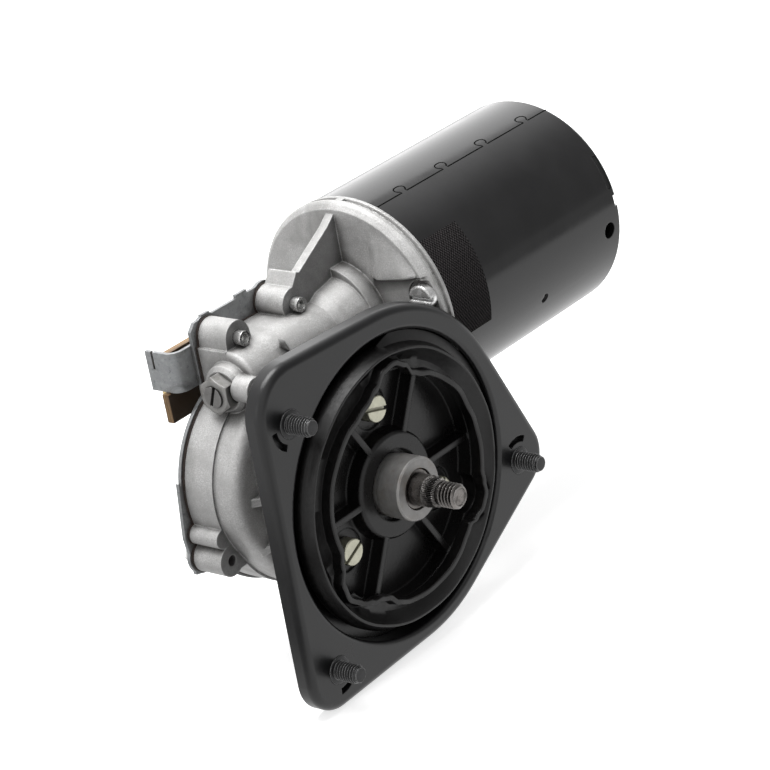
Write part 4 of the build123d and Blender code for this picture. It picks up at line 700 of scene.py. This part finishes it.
PHOTO_SIZE = 770
SENSOR_WIDTH = 36.0
FOCAL_LENGTH = 2790.592
CAMERA_PLACE = (-567.12488497, -535.92149903, 360.32406088)
CAMERA_RIGHT = (0.62183653, -0.76406148, -0.17184115)
CAMERA_DOWN = (-0.40353619, -0.12455652, -0.90644592)
CAMERA_AHEAD = (0.67117648, 0.63300532, -0.38578025)


def add_camera():
    data = bpy.data.cameras.new("camera")
    data.sensor_width = SENSOR_WIDTH
    data.lens = FOCAL_LENGTH / PHOTO_SIZE * SENSOR_WIDTH
    data.clip_start = 0.05
    data.clip_end = 20.0
    camera = bpy.data.objects.new("camera", data)
    turn = Matrix((Vector(CAMERA_RIGHT), -Vector(CAMERA_DOWN), -Vector(CAMERA_AHEAD))).transposed()
    camera.matrix_world = Matrix.Translation(Vector(CAMERA_PLACE) * MM) @ turn.to_4x4()
    bpy.context.scene.collection.objects.link(camera)
    bpy.context.scene.camera = camera


# Area lamps: name, place, point that they aim at, size and power
LAMPS = (
    ("key", (0.0, 0.3, 1.5), (0.0, 0.0, 0.0), 1.1, 27.0),
    ("back", (1.0, 1.1, 0.35), (0.05, 0.03, 0.02), 1.5, 8.0),
    ("left", (-1.3, 0.2, 0.5), (0.0, 0.0, 0.0), 0.7, 1.0),
)


def add_lamp(name, place, aim, size, power):
    data = bpy.data.lights.new(name, "AREA")
    data.shape = "SQUARE"
    data.size = size
    data.energy = power
    lamp = bpy.data.objects.new(name, data)
    lamp.visible_camera = False
    lamp.location = place
    lamp.rotation_euler = (Vector(aim) - Vector(place)).to_track_quat("-Z", "Y").to_euler()
    bpy.context.scene.collection.objects.link(lamp)


def seen_rays(tree, path):
    """1 for rays from the camera, from mirrors and through glass."""
    seen = path.outputs["Is Camera Ray"]
    for name in ("Is Glossy Ray", "Is Transmission Ray"):
        seen = add_node(tree, "ShaderNodeMath", {0: seen, 1: path.outputs[name]}, operation="MAXIMUM").outputs[0]
    return seen


def toward(tree, place, direction):
    """How far a place lies in a direction."""
    inputs = {0: place, 1: Vector(direction).normalized()}
    return add_node(tree, "ShaderNodeVectorMath", inputs, operation="DOT_PRODUCT").outputs["Value"]


# World: the level of its light, and the direction of a dark screen with the range over which it fades
WORLD_LEVEL = 0.46
DARK_SCREEN = (0.66, -0.68, 0.36)
DARK_SCREEN_RANGE = (0.55, 0.97, 1.0, 0.35)


def add_world():
    """Even studio light; what is seen or mirrored is white, with one dark screen beside the camera."""
    world = bpy.data.worlds.new("studio")
    bpy.context.scene.world = world
    tree = emptied_tree(world)
    way = add_node(tree, "ShaderNodeTexCoord").outputs["Generated"]
    shade = map_range(tree, toward(tree, way, DARK_SCREEN), DARK_SCREEN_RANGE, "SMOOTHSTEP")
    soft = add_node(tree, "ShaderNodeBackground", {"Color": (1, 1, 1, 1), "Strength": WORLD_LEVEL})
    white = add_node(tree, "ShaderNodeBackground", {"Color": shade, "Strength": 1.0})
    seen = seen_rays(tree, add_node(tree, "ShaderNodeLightPath"))
    mix = add_node(tree, "ShaderNodeMixShader", {0: seen, 1: soft.outputs[0], 2: white.outputs[0]})
    add_node(tree, "ShaderNodeOutputWorld", {"Surface": mix.outputs[0]})


FLOOR_HALF_SIZE = 6.0
FLOOR_GAP = 0.0002
FLOOR_WHITE = 0.8
FLOOR_GLOW = 0.66
# What the floor gives back to the object as light
FLOOR_BOUNCE = 0.3
# What gloss mirrors of the floor: it dims in one direction, and in a narrow spot
FLOOR_FALL_TOWARD = (0.66, -0.75, 0.0)
FLOOR_FALL = (0.44, 0.62, 1.1, 0.5)
FLOOR_SPOT_PLACE = (-0.13, 0.01, 0.0)
FLOOR_SPOT_SQUEEZE = (1.0, 0.25, 0.0)
FLOOR_SPOT = (0.032, 0.062, 0.25, 1.0)


def floor_material():
    """White where it is seen, a plain grey for bounced light, and dimmer in parts for mirrored rays."""
    material = bpy.data.materials.new("floor")
    tree = emptied_tree(material)
    place = add_node(tree, "ShaderNodeTexCoord").outputs["Object"]
    fall = map_range(tree, toward(tree, place, FLOOR_FALL_TOWARD), FLOOR_FALL, "SMOOTHSTEP")
    squeezed = add_node(tree, "ShaderNodeVectorMath", {0: place, 1: FLOOR_SPOT_SQUEEZE}, operation="MULTIPLY")
    away = add_node(tree, "ShaderNodeVectorMath", {0: squeezed.outputs[0], 1: FLOOR_SPOT_PLACE}, operation="DISTANCE")
    spot = map_range(tree, away.outputs["Value"], FLOOR_SPOT, "SMOOTHSTEP")
    level = add_node(tree, "ShaderNodeMath", {0: fall, 1: spot}, operation="MULTIPLY")
    mirrored = add_node(tree, "ShaderNodeEmission", {"Strength": level.outputs[0]})
    white = add_node(tree, "ShaderNodeBsdfDiffuse", {"Color": (FLOOR_WHITE, FLOOR_WHITE, FLOOR_WHITE, 1)})
    bounce = add_node(tree, "ShaderNodeBsdfDiffuse", {"Color": (FLOOR_BOUNCE, FLOOR_BOUNCE, FLOOR_BOUNCE, 1)})
    glow = add_node(tree, "ShaderNodeEmission", {"Strength": FLOOR_GLOW})
    bright = add_node(tree, "ShaderNodeAddShader", {0: white.outputs[0], 1: glow.outputs[0]})
    path = add_node(tree, "ShaderNodeLightPath")
    shown = add_node(tree, "ShaderNodeMixShader", {
        0: path.outputs["Is Glossy Ray"], 1: bright.outputs[0], 2: mirrored.outputs[0]})
    mix = add_node(tree, "ShaderNodeMixShader", {0: seen_rays(tree, path), 1: bounce.outputs[0], 2: shown.outputs[0]})
    add_node(tree, "ShaderNodeOutputMaterial", {"Surface": mix.outputs[0]})
    return material


def add_floor():
    """White floor under the lowest point; it keeps the shadow of the object."""
    low = CAD_BOX[0][2] - FLOOR_GAP
    mesh = bpy.data.meshes.new("floor")
    corners = [(x * FLOOR_HALF_SIZE, y * FLOOR_HALF_SIZE, low) for x, y in ((-1, -1), (1, -1), (1, 1), (-1, 1))]
    mesh.from_pydata(corners, [], [(0, 1, 2, 3)])
    mesh.materials.append(floor_material())
    floor = bpy.data.objects.new("floor", mesh)
    bpy.context.scene.collection.objects.link(floor)


bpy.context.scene.view_settings.view_transform = "Standard"
add_camera()
add_world()
add_floor()
for lamp in LAMPS:
    add_lamp(*lamp)
